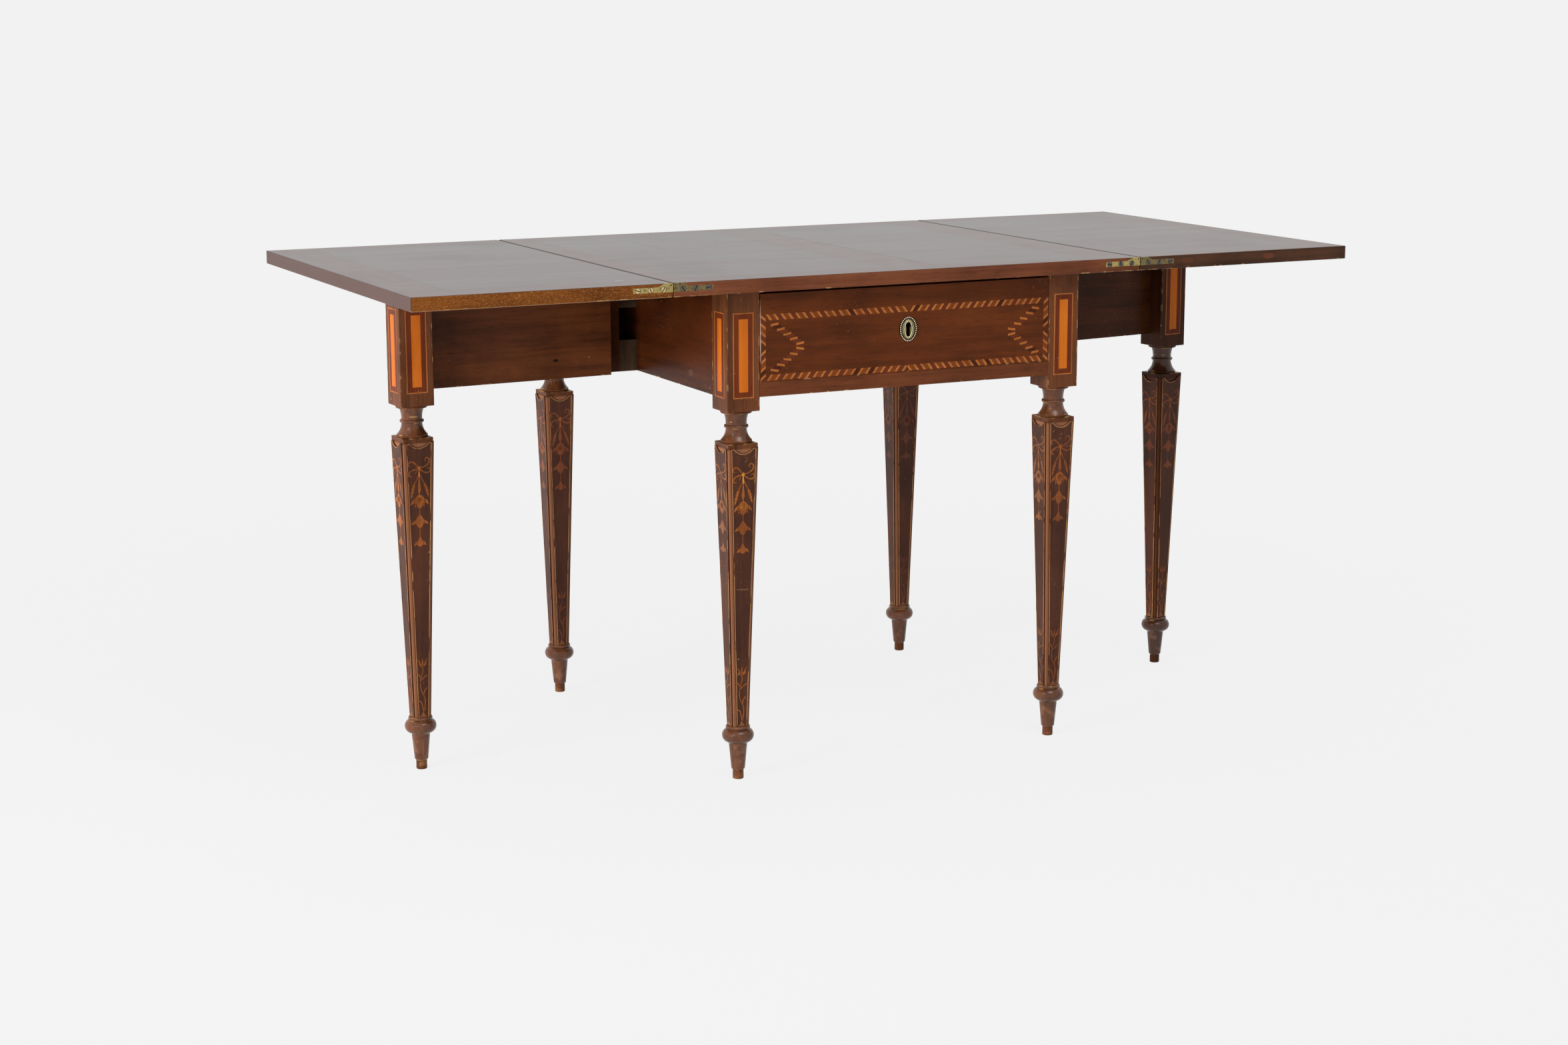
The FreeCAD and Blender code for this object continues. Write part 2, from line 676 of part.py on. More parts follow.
# A card-table hinge at the right front: a brass plate let into the edge of the top, with a deeper head at the
# joint, slotted for the link. Its mirror images serve the leaf, the back edge and the left joint.
plate_bottom = "table_height - plate_drop - plate_height"
joint_face = "top_length / 2"
head_corner = [
    (joint_face, "table_height - head_height"),
    (joint_face, "pin_z"),
    ("pin_x", "table_height", f"{joint_face} - pin_depth * quarter", "table_height - pin_depth * quarter"),
    (f"{joint_face} - head_length", "table_height"),
]
plate_form = new_body("PlateForm")
plate_sketch = outline(plate_form, "PlateOutline", "XZ_Plane", [
    (f"{joint_face} - plate_length", plate_bottom),
    (f"{joint_face} - head_length", plate_bottom),
    (f"{joint_face} - head_length", "table_height - head_height"),
    *head_corner,
    (f"{joint_face} - head_length - head_shoulder", "table_height - plate_drop"),
    (f"{joint_face} - plate_length", "table_height - plate_drop"),
], "-(front_edge)")
pad(plate_form, "PlateSheet", plate_sketch, "plate_thickness", backwards=True)
head_sketch = outline(plate_form, "HeadOutline", "XZ_Plane", [
    (f"{joint_face} - head_length", "table_height - head_height"),
    *head_corner,
], "-(front_edge)")
plate_form.Tip = pad(plate_form, "PlateHead", head_sketch, "head_depth", backwards=True)

screws, screw_holes = [], []
for number in range(3):
    screw_x = f"{joint_face} - screw_first - screw_pitch * {number}"
    start = (screw_x, "front_edge", "screw_z")
    whole = fuse(
        f"HingeScrew{number}",
        round_bar(f"ScrewHead{number}", "screw_head_diameter", "screw_head_depth", start, "Y",
                  "screw_shank_diameter"),
        round_bar(f"ScrewShank{number}", "screw_shank_diameter", "screw_length", start, "Y"))
    slope = f"screw_turn * {number + 1} * 1 deg"
    slot = new_body(f"ScrewSlot{number}")
    slot_sketch = outline(slot, f"SlotOutline{number}", "XZ_Plane", [
        (f"{screw_x} + screw_head_diameter * {way} * cos({slope}) - screw_slot_width / 2 * {side} * sin({slope})",
         f"screw_z + screw_head_diameter * {way} * sin({slope}) + screw_slot_width / 2 * {side} * cos({slope})")
        for way, side in ((-1, -1), (1, -1), (1, 1), (-1, 1))
    ], "-(front_edge)")
    slot.Tip = pad(slot, f"SlotBar{number}", slot_sketch, "screw_slot_depth", backwards=True)
    screw_holes.append(whole)
    screws.append(cut(f"SlottedScrew{number}", whole, slot))
pin = round_bar("HingePin", "leaf_pin_diameter", "head_depth", ("pin_x", "front_edge", "pin_z"), "Y")
link_slot = box("LinkSlot", ("pin_x - link_radius - link_clearance", f"{joint_face} + pin_depth"),
                ("link_front - link_clearance", "link_front + link_thickness + link_clearance"),
                ("pin_z - link_radius - link_clearance", "table_height + pin_depth"))
plate = cut("HingePlate", plate_form, link_slot, pin, *screw_holes)
screw_set = group("HingeScrews", *screws)
bed = fuse("HingeBed", plate_form, *screw_holes)

# The link of that hinge, a flat bar with round ends that turns on both pins.
link_form = new_body("LinkForm")
link_sketch = outline(link_form, "LinkOutline", "XZ_Plane", [
    ("leaf_pin_x", "pin_z - link_radius"),
    ("leaf_pin_x", "pin_z + link_radius", "leaf_pin_x + link_radius", "pin_z"),
    ("pin_x", "pin_z + link_radius"),
    ("pin_x", "pin_z - link_radius", "pin_x - link_radius", "pin_z"),
], "-(link_front)")
link_form.Tip = pad(link_form, "LinkBar", link_sketch, "link_thickness", backwards=True)
eye_diameter = "leaf_pin_diameter + pin_clearance * 2"
eyes = [round_bar(f"LinkEye{number}", eye_diameter, "head_depth", (x, "front_edge", "pin_z"), "Y")
        for number, x in enumerate(("pin_x", "leaf_pin_x"))]
link = cut("HingeLink", link_form, *eyes)


def four_ways(name, source):
    """Copies of a piece of the right front hinge at the front and back of the right and left joints."""
    back = mirrored(f"{name}Back", source, ACROSS_Y)
    right = [source, back]
    left = [mirrored(f"{name}Left{number}", shape, ACROSS_X) for number, shape in enumerate(right)]
    return {"right": right, "left": left}


leaf_side = {name: mirrored(f"Leaf{name}", source, ACROSS_X, "joint_x")
             for name, source in (("Plate", plate), ("Pin", pin), ("Screws", screw_set), ("Bed", bed))}
centre_plates = four_ways("CentrePlates", plate)
centre_pins = four_ways("CentrePins", pin)
centre_screws = four_ways("CentreScrews", screw_set)
centre_beds = four_ways("CentreBeds", bed)
leaf_plates = four_ways("LeafPlates", leaf_side["Plate"])
leaf_pins = four_ways("LeafPins", leaf_side["Pin"])
leaf_screws = four_ways("LeafScrews", leaf_side["Screws"])
leaf_beds = four_ways("LeafBeds", leaf_side["Bed"])
links = four_ways("Links", link)
for side in SIDES:
    title = side.title()
    sub_part(group(f"{title}CentrePlates", *centre_plates[side]), f"{side}_centre_hinge_plates")
    sub_part(group(f"{title}CentrePins", *centre_pins[side]), f"{side}_centre_hinge_pins")
    sub_part(group(f"{title}LeafPlates", *leaf_plates[side]), f"{side}_leaf_hinge_plates")
    sub_part(group(f"{title}LeafPins", *leaf_pins[side]), f"{side}_leaf_hinge_pins")
    sub_part(group(f"{title}LeafScrews", *leaf_screws[side]), f"{side}_leaf_hinge_screws")
    sub_part(group(f"{title}Links", *links[side]), f"{side}_hinge_links")
sub_part(group("CentreScrews", *centre_screws["left"], *centre_screws["right"]), "centre_hinge_screws")

# What carries the drawer: a runner, a guide and a kicker along each side rail, and two stops on the front
# rail. The top is screwed down through the kickers.
along = ("rail_front", "back_rail_inside")
stop_y = ("drawer_front_back + slide_clearance", "drawer_front_back + slide_clearance + stop_depth")
runners, guides, kickers, stops, top_screws = [], [], [], [], []
for side in SIDES:
    title = side.title()
    runners.append(box(f"{title}Runner", on_side(side, "side_inside - runner_width", "side_inside"), along,
                       ("runner_top - runner_thickness", "runner_top")))
    guides.append(box(f"{title}Guide", on_side(side, "drawer_half + guide_clearance", "side_inside"), along,
                      ("runner_top", "runner_top + guide_height")))
    kickers.append(box(f"{title}Kicker", on_side(side, "side_inside - kicker_width", "side_inside"), along,
                       ("kicker_bottom", "underside")))
    stops.append(box(f"{title}Stop", on_side(side, "stop_spread", "stop_spread + stop_width"), stop_y,
                     ("runner_top", "runner_top + stop_height")))
    for number, reach in enumerate(("-top_screw_reach", "0", "top_screw_reach")):
        place = (at_side(side, "side_inside - kicker_width / 2"), reach)
        top_screws.append(fuse(
            f"{title}TopScrew{number}",
            round_bar(f"{title}TopShank{number}", "top_screw_diameter", "top_screw_length",
                      (*place, "kicker_bottom"), "Z"),
            round_bar(f"{title}TopHead{number}", "top_screw_head_diameter", "top_screw_head_height",
                      (*place, "kicker_bottom - top_screw_head_height"), "Z")))
bored_kickers = [cut(f"{kicker.Name}Bored", kicker, *top_screws) for kicker in kickers]
sub_part(group("Runners", *runners), "drawer_runners")
sub_part(group("Guides", *guides), "drawer_guides")
sub_part(group("Stops", *stops), "drawer_stops")
sub_part(group("Kickers", *bored_kickers), "drawer_kickers")
sub_part(group("TopScrews", *top_screws), "top_screws")

# Triangular glue blocks in the two back corners, under the kickers.
corner = new_body("CornerBlock")
corner_sketch = outline(corner, "CornerTriangle", "XY_Plane", [
    ("side_inside", "back_rail_inside"),
    ("side_inside - corner_block_leg", "back_rail_inside"),
    ("side_inside", "back_rail_inside - corner_block_leg"),
], "kicker_bottom - corner_block_height")
corner.Tip = pad(corner, "CornerPrism", corner_sketch, "corner_block_height")
sub_part(group("CornerBlocks", corner, mirrored("LeftCornerBlock", corner, ACROSS_X)), "corner_blocks")


# The three boards of the top. The joint edges are rounded about the hinge pins, so that they roll past each
# other as a leaf folds over.
def is_long_front_edge(edge):
    """Whether an edge runs along the front or the back of a board."""
    span = edge.BoundBox
    return span.YLength < value("edge_round") and span.XLength > value("head_length")


def is_outer_edge(edge):
    """Whether an edge belongs to the free end of the right leaf."""
    return edge.BoundBox.XMin > value("joint_x + leaf_width / 2")


centre_form = new_body("CentreForm")
centre_sketch = outline(centre_form, "CentreSection", "XZ_Plane", [
    (f"-({joint_face})", "underside"),
    (joint_face, "underside"),
    *head_corner[1:3],
    ("-(pin_x)", "table_height"),
    (f"-({joint_face})", "pin_z",
     f"pin_depth * quarter - {joint_face}", "table_height - pin_depth * quarter"),
])
centre_board = pad(centre_form, "CentreBoard", centre_sketch, "top_depth", both_ways=True)
centre_form.Tip = round_edges(centre_form, "CentreArrises", centre_board, "edge_round", is_long_front_edge)
all_beds = centre_beds["left"] + centre_beds["right"]
sub_part(cut("CentreTop", centre_form, *all_beds, *top_screws), "centre_top")

leaf_face = f"{joint_face} + leaf_gap"
leaf_form = new_body("LeafForm")
leaf_sketch = outline(leaf_form, "LeafSection", "XZ_Plane", [
    (leaf_face, "underside + joint_round"),
    (f"{leaf_face} + joint_round", "underside",
     f"{leaf_face} + joint_round * quarter", "underside + joint_round * quarter"),
    (f"{leaf_face} + leaf_width", "underside"),
    (f"{leaf_face} + leaf_width", "table_height"),
    ("leaf_pin_x", "table_height"),
    (leaf_face, "pin_z", f"{leaf_face} + pin_depth * quarter", "table_height - pin_depth * quarter"),
])
leaf_board = pad(leaf_form, "LeafBoard", leaf_sketch, "top_depth", both_ways=True)
leaf_form.Tip = round_edges(leaf_form, "LeafArrises", leaf_board, "edge_round",
                            lambda edge: is_long_front_edge(edge) or is_outer_edge(edge))
right_leaf = cut("RightLeaf", leaf_form, *leaf_beds["right"])
sub_part(right_leaf, "right_leaf")
sub_part(mirrored("LeftLeaf", right_leaf, ACROSS_X), "left_leaf")

# The drawer: sides dovetailed into the front, a back housed between them, and a bottom in grooves.
side_form = new_body("DrawerSideForm")
side_sketch = outline(side_form, "DrawerSideOutline", "YZ_Plane", [
    ("drawer_front_back", "drawer_bottom_edge"),
    ("drawer_end", "drawer_bottom_edge"),
    ("drawer_end", "drawer_side_top"),
    ("drawer_front_back", "drawer_side_top"),
], "drawer_inside")
pad(side_form, "DrawerSideBoard", side_sketch, "drawer_side_thickness")
tail_sketch = outline(side_form, "TailOutline", "YZ_Plane", [
    ("drawer_front_back - dovetail_length", "dovetail_z - dovetail_width / 2"),
    ("drawer_front_back", "dovetail_z - dovetail_width / 2 + dovetail_flare"),
    ("drawer_front_back", "dovetail_z + dovetail_width / 2 - dovetail_flare"),
    ("drawer_front_back - dovetail_length", "dovetail_z + dovetail_width / 2"),
], "drawer_inside")
tail = pad(side_form, "Tail", tail_sketch, "drawer_side_thickness")
doc.recompute()
tails = side_form.newObject("PartDesign::LinearPattern", "Tails")
tails.Originals = [tail]
tails.Direction = (origin_plane(side_form, "Z_Axis"), [""])
bind(tails, {"Length": "dovetail_pitch * (dovetail_count - 1)", "Occurrences": "dovetail_count"})
side_form.Tip = tails

drawer_bottom = box("DrawerBottom", ("-(drawer_inside + drawer_groove)", "drawer_inside + drawer_groove"),
                    ("drawer_front_back - drawer_groove", "drawer_end"),
                    ("drawer_floor", "drawer_floor + drawer_bottom_thickness"))
drawer_back = box("DrawerBack", ("-(drawer_inside + drawer_groove)", "drawer_inside + drawer_groove"),
                  ("drawer_end - drawer_back_thickness * 2", "drawer_end - drawer_back_thickness"),
                  ("drawer_floor + drawer_bottom_thickness", "drawer_side_top"))
right_drawer_side = cut("RightDrawerSide", side_form, drawer_bottom, drawer_back)
left_drawer_side = mirrored("LeftDrawerSide", right_drawer_side, ACROSS_X)
sub_part(drawer_bottom, "drawer_bottom")
sub_part(drawer_back, "drawer_back")
sub_part(right_drawer_side, "drawer_right_side")
sub_part(left_drawer_side, "drawer_left_side")

# The drawer's lock, let into the back of the front, with its bolt drawn in, and the oval escutcheon.
lock_body = box("LockBody", ("-lock_width / 2", "lock_width / 2"),
                ("drawer_front_back - lock_thickness", "drawer_front_back"),
                ("lock_bottom", "drawer_top_edge"))
lock_middle = "drawer_front_back - lock_thickness / 2"
bolt = box("LockBolt", ("-bolt_width / 2", "bolt_width / 2"),
           (f"{lock_middle} - bolt_thickness / 2", f"{lock_middle} + bolt_thickness / 2"),
           ("drawer_top_edge - bolt_height", "drawer_top_edge"))
key_way = fuse(
    "KeyWay",
    round_bar("KeyBarrel", "keyhole_diameter", "drawer_front_thickness",
              ("0", "front_face - escutcheon_thickness", "keyhole_z"), "Y"),
    box("KeySlot", ("-keyhole_slot / 2", "keyhole_slot / 2"),
        ("front_face - escutcheon_thickness", "front_face - escutcheon_thickness + drawer_front_thickness"),
        ("keyhole_z - keyhole_drop", "keyhole_z")))
lock_case = cut("LockCase", lock_body, bolt, key_way)


def oval(body, name, wide, tall, offset):
    """An upright oval of four arcs about the escutcheon's middle, anticlockwise from its right-hand end."""
    corners = []
    for way_x, way_z, end_x, end_z in ((1, 1, 0, 1), (-1, 1, -1, 0), (-1, -1, 0, -1), (1, -1, 1, 0)):
        corners.append((f"({wide}) / 2 * ({end_x})", f"escutcheon_z + ({tall}) / 2 * ({end_z})",
                        f"({wide}) / 2 * (1 - quarter) * ({way_x})",
                        f"escutcheon_z + ({tall}) / 2 * (1 - quarter) * ({way_z})"))
    return outline(body, name, "XZ_Plane", corners, offset)


plate_oval = new_body("EscutcheonOval")
outer_oval = oval(plate_oval, "EscutcheonOutline", "escutcheon_width", "escutcheon_height", "-(front_face)")
plate_oval.Tip = pad(plate_oval, "EscutcheonSheet", outer_oval, "escutcheon_thickness")
dish = new_body("EscutcheonDish")
inner_oval = oval(dish, "DishOutline", "escutcheon_width - escutcheon_rim * 2",
                  "escutcheon_height - escutcheon_rim * 2",
                  "escutcheon_thickness - escutcheon_dish - front_face")
dish.Tip = pad(dish, "DishHollow", inner_oval, "escutcheon_thickness")
escutcheon_pins = [
    round_bar(f"EscutcheonPin{number}", "escutcheon_pin_diameter", "escutcheon_pin_length",
              ("0", "front_face - escutcheon_thickness + escutcheon_dish",
               f"escutcheon_z + (escutcheon_height / 2 - escutcheon_pin_inset) * ({way})"), "Y")
    for number, way in enumerate((1, -1))]
sub_part(lock_case, "lock_case")
sub_part(bolt, "lock_bolt")
sub_part(cut("Escutcheon", plate_oval, dish, key_way, *escutcheon_pins), "escutcheon")
sub_part(group("EscutcheonPins", *escutcheon_pins), "escutcheon_pins")

front_board = box("DrawerFrontBoard", ("-(drawer_half)", "drawer_half"), ("front_face", "drawer_front_back"),
                  ("drawer_bottom_edge", "drawer_top_edge"))
left_side_form = mirrored("LeftDrawerSideForm", side_form, ACROSS_X)
drawer_front = cut("DrawerFront", front_board, side_form, left_side_form, drawer_bottom, lock_body, key_way,
                   *escutcheon_pins)
sub_part(drawer_front, "drawer_front")

# Nothing is written unless every object is sound.
doc.recompute()
faults = [thing.Name for thing in doc.Objects if {"Invalid", "Error"} & set(thing.State)]
faults += [thing.Label for thing in pieces if thing.Shape.isNull() or not thing.Shape.isValid()]
if faults:
    raise RuntimeError(f"unsound objects: {faults}")
os.makedirs("parts", exist_ok=True)
for thing in pieces:
    thing.Shape.exportStep(os.path.join("parts", f"{thing.Label}.step"))
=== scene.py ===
import bpy
import json
import math
import numpy as np
from mathutils import Matrix, Vector


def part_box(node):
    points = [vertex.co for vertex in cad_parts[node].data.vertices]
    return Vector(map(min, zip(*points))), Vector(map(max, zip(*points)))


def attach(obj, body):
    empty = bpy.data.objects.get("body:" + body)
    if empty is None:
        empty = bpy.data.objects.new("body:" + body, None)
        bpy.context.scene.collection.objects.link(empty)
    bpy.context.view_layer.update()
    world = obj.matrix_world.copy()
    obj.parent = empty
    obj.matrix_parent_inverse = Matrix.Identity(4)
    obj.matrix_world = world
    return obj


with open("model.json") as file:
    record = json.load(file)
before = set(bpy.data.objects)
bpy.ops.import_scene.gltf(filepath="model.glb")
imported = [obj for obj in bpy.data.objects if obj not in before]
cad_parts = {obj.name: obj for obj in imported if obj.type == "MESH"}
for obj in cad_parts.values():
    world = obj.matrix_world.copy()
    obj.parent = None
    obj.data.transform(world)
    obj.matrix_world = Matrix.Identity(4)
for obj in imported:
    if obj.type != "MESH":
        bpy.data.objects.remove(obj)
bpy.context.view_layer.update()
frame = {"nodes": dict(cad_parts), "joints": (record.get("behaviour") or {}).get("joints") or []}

# The studio: a wide pale floor under a pale surround that is bright to the left and behind, and dark in
# front, so that the front shows its own colours. The floor takes the table's soft shadow and fades out
# further off.
SURROUND, COOL_LIGHT, FLOOR_GREY = (0.887, 0.887, 0.887, 1.0), (0.93, 0.95, 1.0, 1.0), (0.8, 0.8, 0.8, 1.0)
BRIGHT_SIDE, SIDE_RANGE, SIDE_STRENGTH = (-0.72, 0.62, 0.3), (-0.5, 0.3), (0.06, 0.78)
FLOOR_REACH, FADE_RANGE, FADE_GLOW = 30.0, (1.0, 2.6), (0.93, 1.0)
TABLE_MIDDLE = Vector((0.0, 0.0, 0.5))


def linked(value):
    """Whether a value is the output of a node, not a plain one."""
    return isinstance(value, bpy.types.NodeSocket)


def feed(made, inputs):
    """Sets a node's inputs to plain values, or links them to other nodes' outputs."""
    for key, value in inputs.items():
        if linked(value):
            made.id_data.links.new(value, made.inputs[key])
        else:
            made.inputs[key].default_value = value


def node(tree, kind, inputs=None, **settings):
    """A new shader node with its settings and inputs."""
    made = tree.nodes.new("ShaderNode" + kind)
    for name, value in settings.items():
        setattr(made, name, value)
    feed(made, inputs or {})
    return made


def calc(operation, *values):
    """One step of arithmetic on one or two values, of which at least one is a node's output."""
    tree = next(value.id_data for value in values if linked(value))
    return node(tree, "Math", dict(enumerate(values)), operation=operation).outputs[0]


def all_of(first, *others):
    """What masks have in common, or a mask's share: their product."""
    for other in others:
        first = calc("MULTIPLY", first, other)
    return first


def any_of(first, *others):
    """Masks put together: the largest of them."""
    for other in others:
        first = calc("MAXIMUM", first, other)
    return first


def ramp(value, low, high, start=0.0, end=1.0):
    """A value carried smoothly from start to end as another goes from low to high."""
    limits = {"Value": value, "From Min": low, "From Max": high, "To Min": start, "To Max": end}
    return node(value.id_data, "MapRange", limits, interpolation_type="SMOOTHSTEP").outputs["Result"]


def seen(tree):
    """1 for what the camera sees directly, in a reflection or through glass."""
    rays = node(tree, "LightPath").outputs
    return any_of(rays["Is Camera Ray"], rays["Is Glossy Ray"], rays["Is Transmission Ray"])


world = bpy.data.worlds.new("studio")
bpy.context.scene.world = world
world.use_nodes = True
sky = world.node_tree
sky.nodes.clear()
way = node(sky, "TexCoord").outputs["Generated"]
towards = node(sky, "VectorMath", {0: way, 1: BRIGHT_SIDE}, operation="DOT_PRODUCT").outputs["Value"]
strength = ramp(towards, *SIDE_RANGE, *SIDE_STRENGTH)
surround = node(sky, "Background", {"Color": COOL_LIGHT, "Strength": strength})
backdrop = node(sky, "Background", {"Color": SURROUND, "Strength": 1.0})
sky_mix = node(sky, "MixShader", {0: seen(sky), 1: surround.outputs[0], 2: backdrop.outputs[0]})
node(sky, "OutputWorld", {"Surface": sky_mix.outputs[0]})

floor_corners = [(x * FLOOR_REACH, y * FLOOR_REACH, 0) for x, y in ((-1, -1), (1, -1), (1, 1), (-1, 1))]
floor_mesh = bpy.data.meshes.new("floor")
floor_mesh.from_pydata(floor_corners, [], [(0, 1, 2, 3)])
floor = bpy.data.objects.new("floor", floor_mesh)
bpy.context.scene.collection.objects.link(floor)
floor_paint = bpy.data.materials.new("pale_floor")
floor_paint.use_nodes = True
ground = floor_paint.node_tree
ground.nodes.clear()
ground_place = node(ground, "TexCoord").outputs["Object"]
distance = node(ground, "VectorMath", {0: ground_place}, operation="LENGTH").outputs["Value"]
fade = all_of(ramp(distance, *FADE_RANGE, *FADE_GLOW), seen(ground))
matt = node(ground, "BsdfDiffuse", {"Color": FLOOR_GREY})
glow = node(ground, "Emission", {"Color": SURROUND, "Strength": 1.0})
floor_mix = node(ground, "MixShader", {0: fade, 1: matt.outputs[0], 2: glow.outputs[0]})
node(ground, "OutputMaterial", {"Surface": floor_mix.outputs[0]})
floor_mesh.materials.append(floor_paint)


def lamp(name, place, size, watts, lights=True, gleams=True):
    """A square soft box that faces the table. It lights surfaces, gleams in polished ones, or does both."""
    light = bpy.data.lights.new(name, "AREA")
    light.shape = "SQUARE"
    light.size = size
    light.energy = watts
    made = bpy.data.objects.new(name, light)
    made.visible_diffuse = lights
    made.visible_glossy = gleams
    facing = (TABLE_MIDDLE - Vector(place)).to_track_quat("-Z", "Y").to_matrix().to_4x4()
    made.matrix_world = Matrix.Translation(place) @ facing
    bpy.context.scene.collection.objects.link(made)


# The side boxes would show as white patches in the polished top, so a smaller, higher one gleams instead.
lamp("left_softbox", (-4.6, -1.7, 1.6), 2.2, 250.0, gleams=False)
lamp("left_gleam", (-4.3, -2.6, 2.9), 1.2, 22.0, lights=False)
lamp("front_softbox", (0.2, -2.6, 4.2), 2.0, 70.0)
lamp("right_softbox", (4.6, 0.9, 1.5), 2.0, 90.0, gleams=False)

# The camera stands left of the front, a little above the top, as in the photograph. Its focal length is
# given in pixels of the photograph.
CAMERA_PLACE = (-2.0141, -4.0476, 1.2287)
CAMERA_YAW, CAMERA_PITCH, CAMERA_ROLL = 0.4527, 0.198, -0.0023
FOCAL_PIXELS, IMAGE_WIDTH, SENSOR = 4141.0, 2352, 36.0
lens = bpy.data.cameras.new("camera")
lens.sensor_width = SENSOR
lens.lens = SENSOR * FOCAL_PIXELS / IMAGE_WIDTH
camera = bpy.data.objects.new("camera", lens)
camera.matrix_world = (Matrix.Translation(CAMERA_PLACE) @ Matrix.Rotation(-CAMERA_YAW, 4, "Z")
                       @ Matrix.Rotation(math.pi / 2 - CAMERA_PITCH, 4, "X")
                       @ Matrix.Rotation(CAMERA_ROLL, 4, "Z"))
bpy.context.scene.collection.objects.link(camera)
bpy.context.scene.camera = camera
bpy.context.scene.view_settings.view_transform = "Standard"

# The legs: a square block, a turned neck, a tapered square shaft and a turned foot, each leg in one piece of
# mahogany. The corners of the shaft show the red core wood between the veneers, laid paler too as a
# painted sheen, and the feet are rubbed pale.
MM = 0.001
GATES = {"left_gate_leg": "left_gate", "right_gate_leg": "right_gate"}
FIXED_LEGS = ("front_left_leg", "front_right_leg", "back_left_leg", "back_right_leg")
LEGS = {**dict.fromkeys(FIXED_LEGS, "frame"), **GATES}
BLOCK_HEAD, BLOCK_FOOT, SHAFT_HEAD, SHAFT_FOOT, PEG_HEAD = (level * MM for level in (757, 577, 528, 85, 15))
WORN_LEVELS = [level * MM for level in (577, 573, 560, 550, 532, 528, 85, 80, 59, 15)]
CORNER_HEAD, NECK_MARGIN, RUBBED_FOOT = SHAFT_HEAD - 8 * MM, 4 * MM, (20 * MM, 90 * MM)
ARRIS_REACH, CORNER_SHARE, MOTTLE_SHARE, TURNED_POLISH, POLISH_ROUGHNESS = 1.1 * MM, 0.7, 0.4, 0.6, 0.2
GRAIN_TURNS = {"X": (0, 0, 0), "Y": (0, 0, math.pi / 2), "Z": (0, math.pi / 2, 0)}
PORE_COLOUR, PORE_DEPTH, WAX_GLOSS = (0.012, 0.005, 0.003, 1.0), 0.4 * MM, 0.09
SCRATCH_SLANTS = (0.6, -0.9)
RUBBED_COLOUR, CHIP_COLOUR, MOTTLE_COLOUR = (144, 98, 66), (182, 140, 82), (46, 26, 15)


def renderer_colour(chart):
    """A colour in the numbers of a paint chart, 0 to 255, as the renderer wants it."""
    share = np.array(chart) / 255
    linear = np.where(share <= 0.04045, share / 12.92, ((share + 0.055) / 1.055) ** 2.4)
    return (*linear.tolist(), 1.0)


def blend(factor, first, second, mode="MIX"):
    """Two colours laid over each other."""
    colours = {0: factor, 6: first, 7: second}
    return node(factor.id_data, "Mix", colours, data_type="RGBA", blend_type=mode).outputs[2]


def group(name, inputs, outputs):
    """An empty node group with named sockets, its inputs, and the node that its outputs are fed to."""
    made = bpy.data.node_groups.new(name, "ShaderNodeTree")
    for way, sockets in (("INPUT", inputs), ("OUTPUT", outputs)):
        for label, kind in sockets.items():
            made.interface.new_socket(label, in_out=way, socket_type=f"NodeSocket{kind}")
    return made, made.nodes.new("NodeGroupInput").outputs, made.nodes.new("NodeGroupOutput")


def rotated(place, rotation):
    """A place turned about its origin."""
    return node(place.id_data, "Mapping", {"Vector": place, "Rotation": rotation}).outputs[0]


def drawn_noise(place, along, across, detail, distortion=0.0):
    """Noise drawn out along the grain, which is the X of the place that it reads."""
    tree = place.id_data
    scale = node(tree, "CombineXYZ", {"X": along, "Y": across, "Z": across}).outputs[0]
    drawn = node(tree, "VectorMath", {0: place, 1: scale}, operation="MULTIPLY").outputs[0]
    settings = {"Vector": drawn, "Scale": 1.0, "Detail": detail, "Roughness": 0.6, "Distortion": distortion}
    return node(tree, "TexNoise", settings).outputs[0]


def patches(place, scale, low, high, detail=3.0):
    """A mask of scattered patches, where noise rises from low to high."""
    spots = node(place.id_data, "TexNoise", {"Vector": place, "Scale": scale, "Detail": detail}).outputs[0]
    return ramp(spots, low, high)


def make_timber():
    """Figure of a hardwood board with the grain along X: slow bands, finer streaks and flames between two
    colours, dark pores, and clouds where the polish has darkened."""
    amounts = dict.fromkeys(("Band", "Streak", "Pores", "Clouds"), "Float")
    tree, read, give = group("timber", {"Vector": "Vector", "Light": "Color", "Dark": "Color", **amounts},
                             {"Color": "Color", "Height": "Float", "Gloss": "Float"})
    place = read["Vector"]
    band = drawn_noise(place, along=1.1, across=read["Band"], detail=3.0, distortion=0.7)
    streak = drawn_noise(place, along=6.0, across=read["Streak"], detail=4.0)
    flame = drawn_noise(place, along=7.0, across=22.0, detail=2.0, distortion=0.5)
    figure = calc("ADD", calc("ADD", all_of(band, 0.45), all_of(streak, 0.25)), all_of(flame, 0.3))
    wood = blend(ramp(figure, 0.36, 0.64), read["Dark"], read["Light"])
    pore = all_of(ramp(drawn_noise(place, along=45.0, across=1000.0, detail=1.0), 0.58, 0.72), read["Pores"])
    wood = blend(pore, wood, PORE_COLOUR)
    cloud = all_of(patches(place, scale=9.0, low=0.45, high=0.75), read["Clouds"])
    feed(give, {"Color": blend(cloud, wood, read["Dark"], "MULTIPLY"),
                "Height": calc("SUBTRACT", all_of(streak, 0.35), pore),
                "Gloss": calc("ADD", all_of(band, 0.12), all_of(pore, 0.2))})
    return tree


def fall(value, low, high):
    """1 up to low, then falling smoothly to 0 at high."""
    return ramp(value, low, high, 1.0, 0.0)


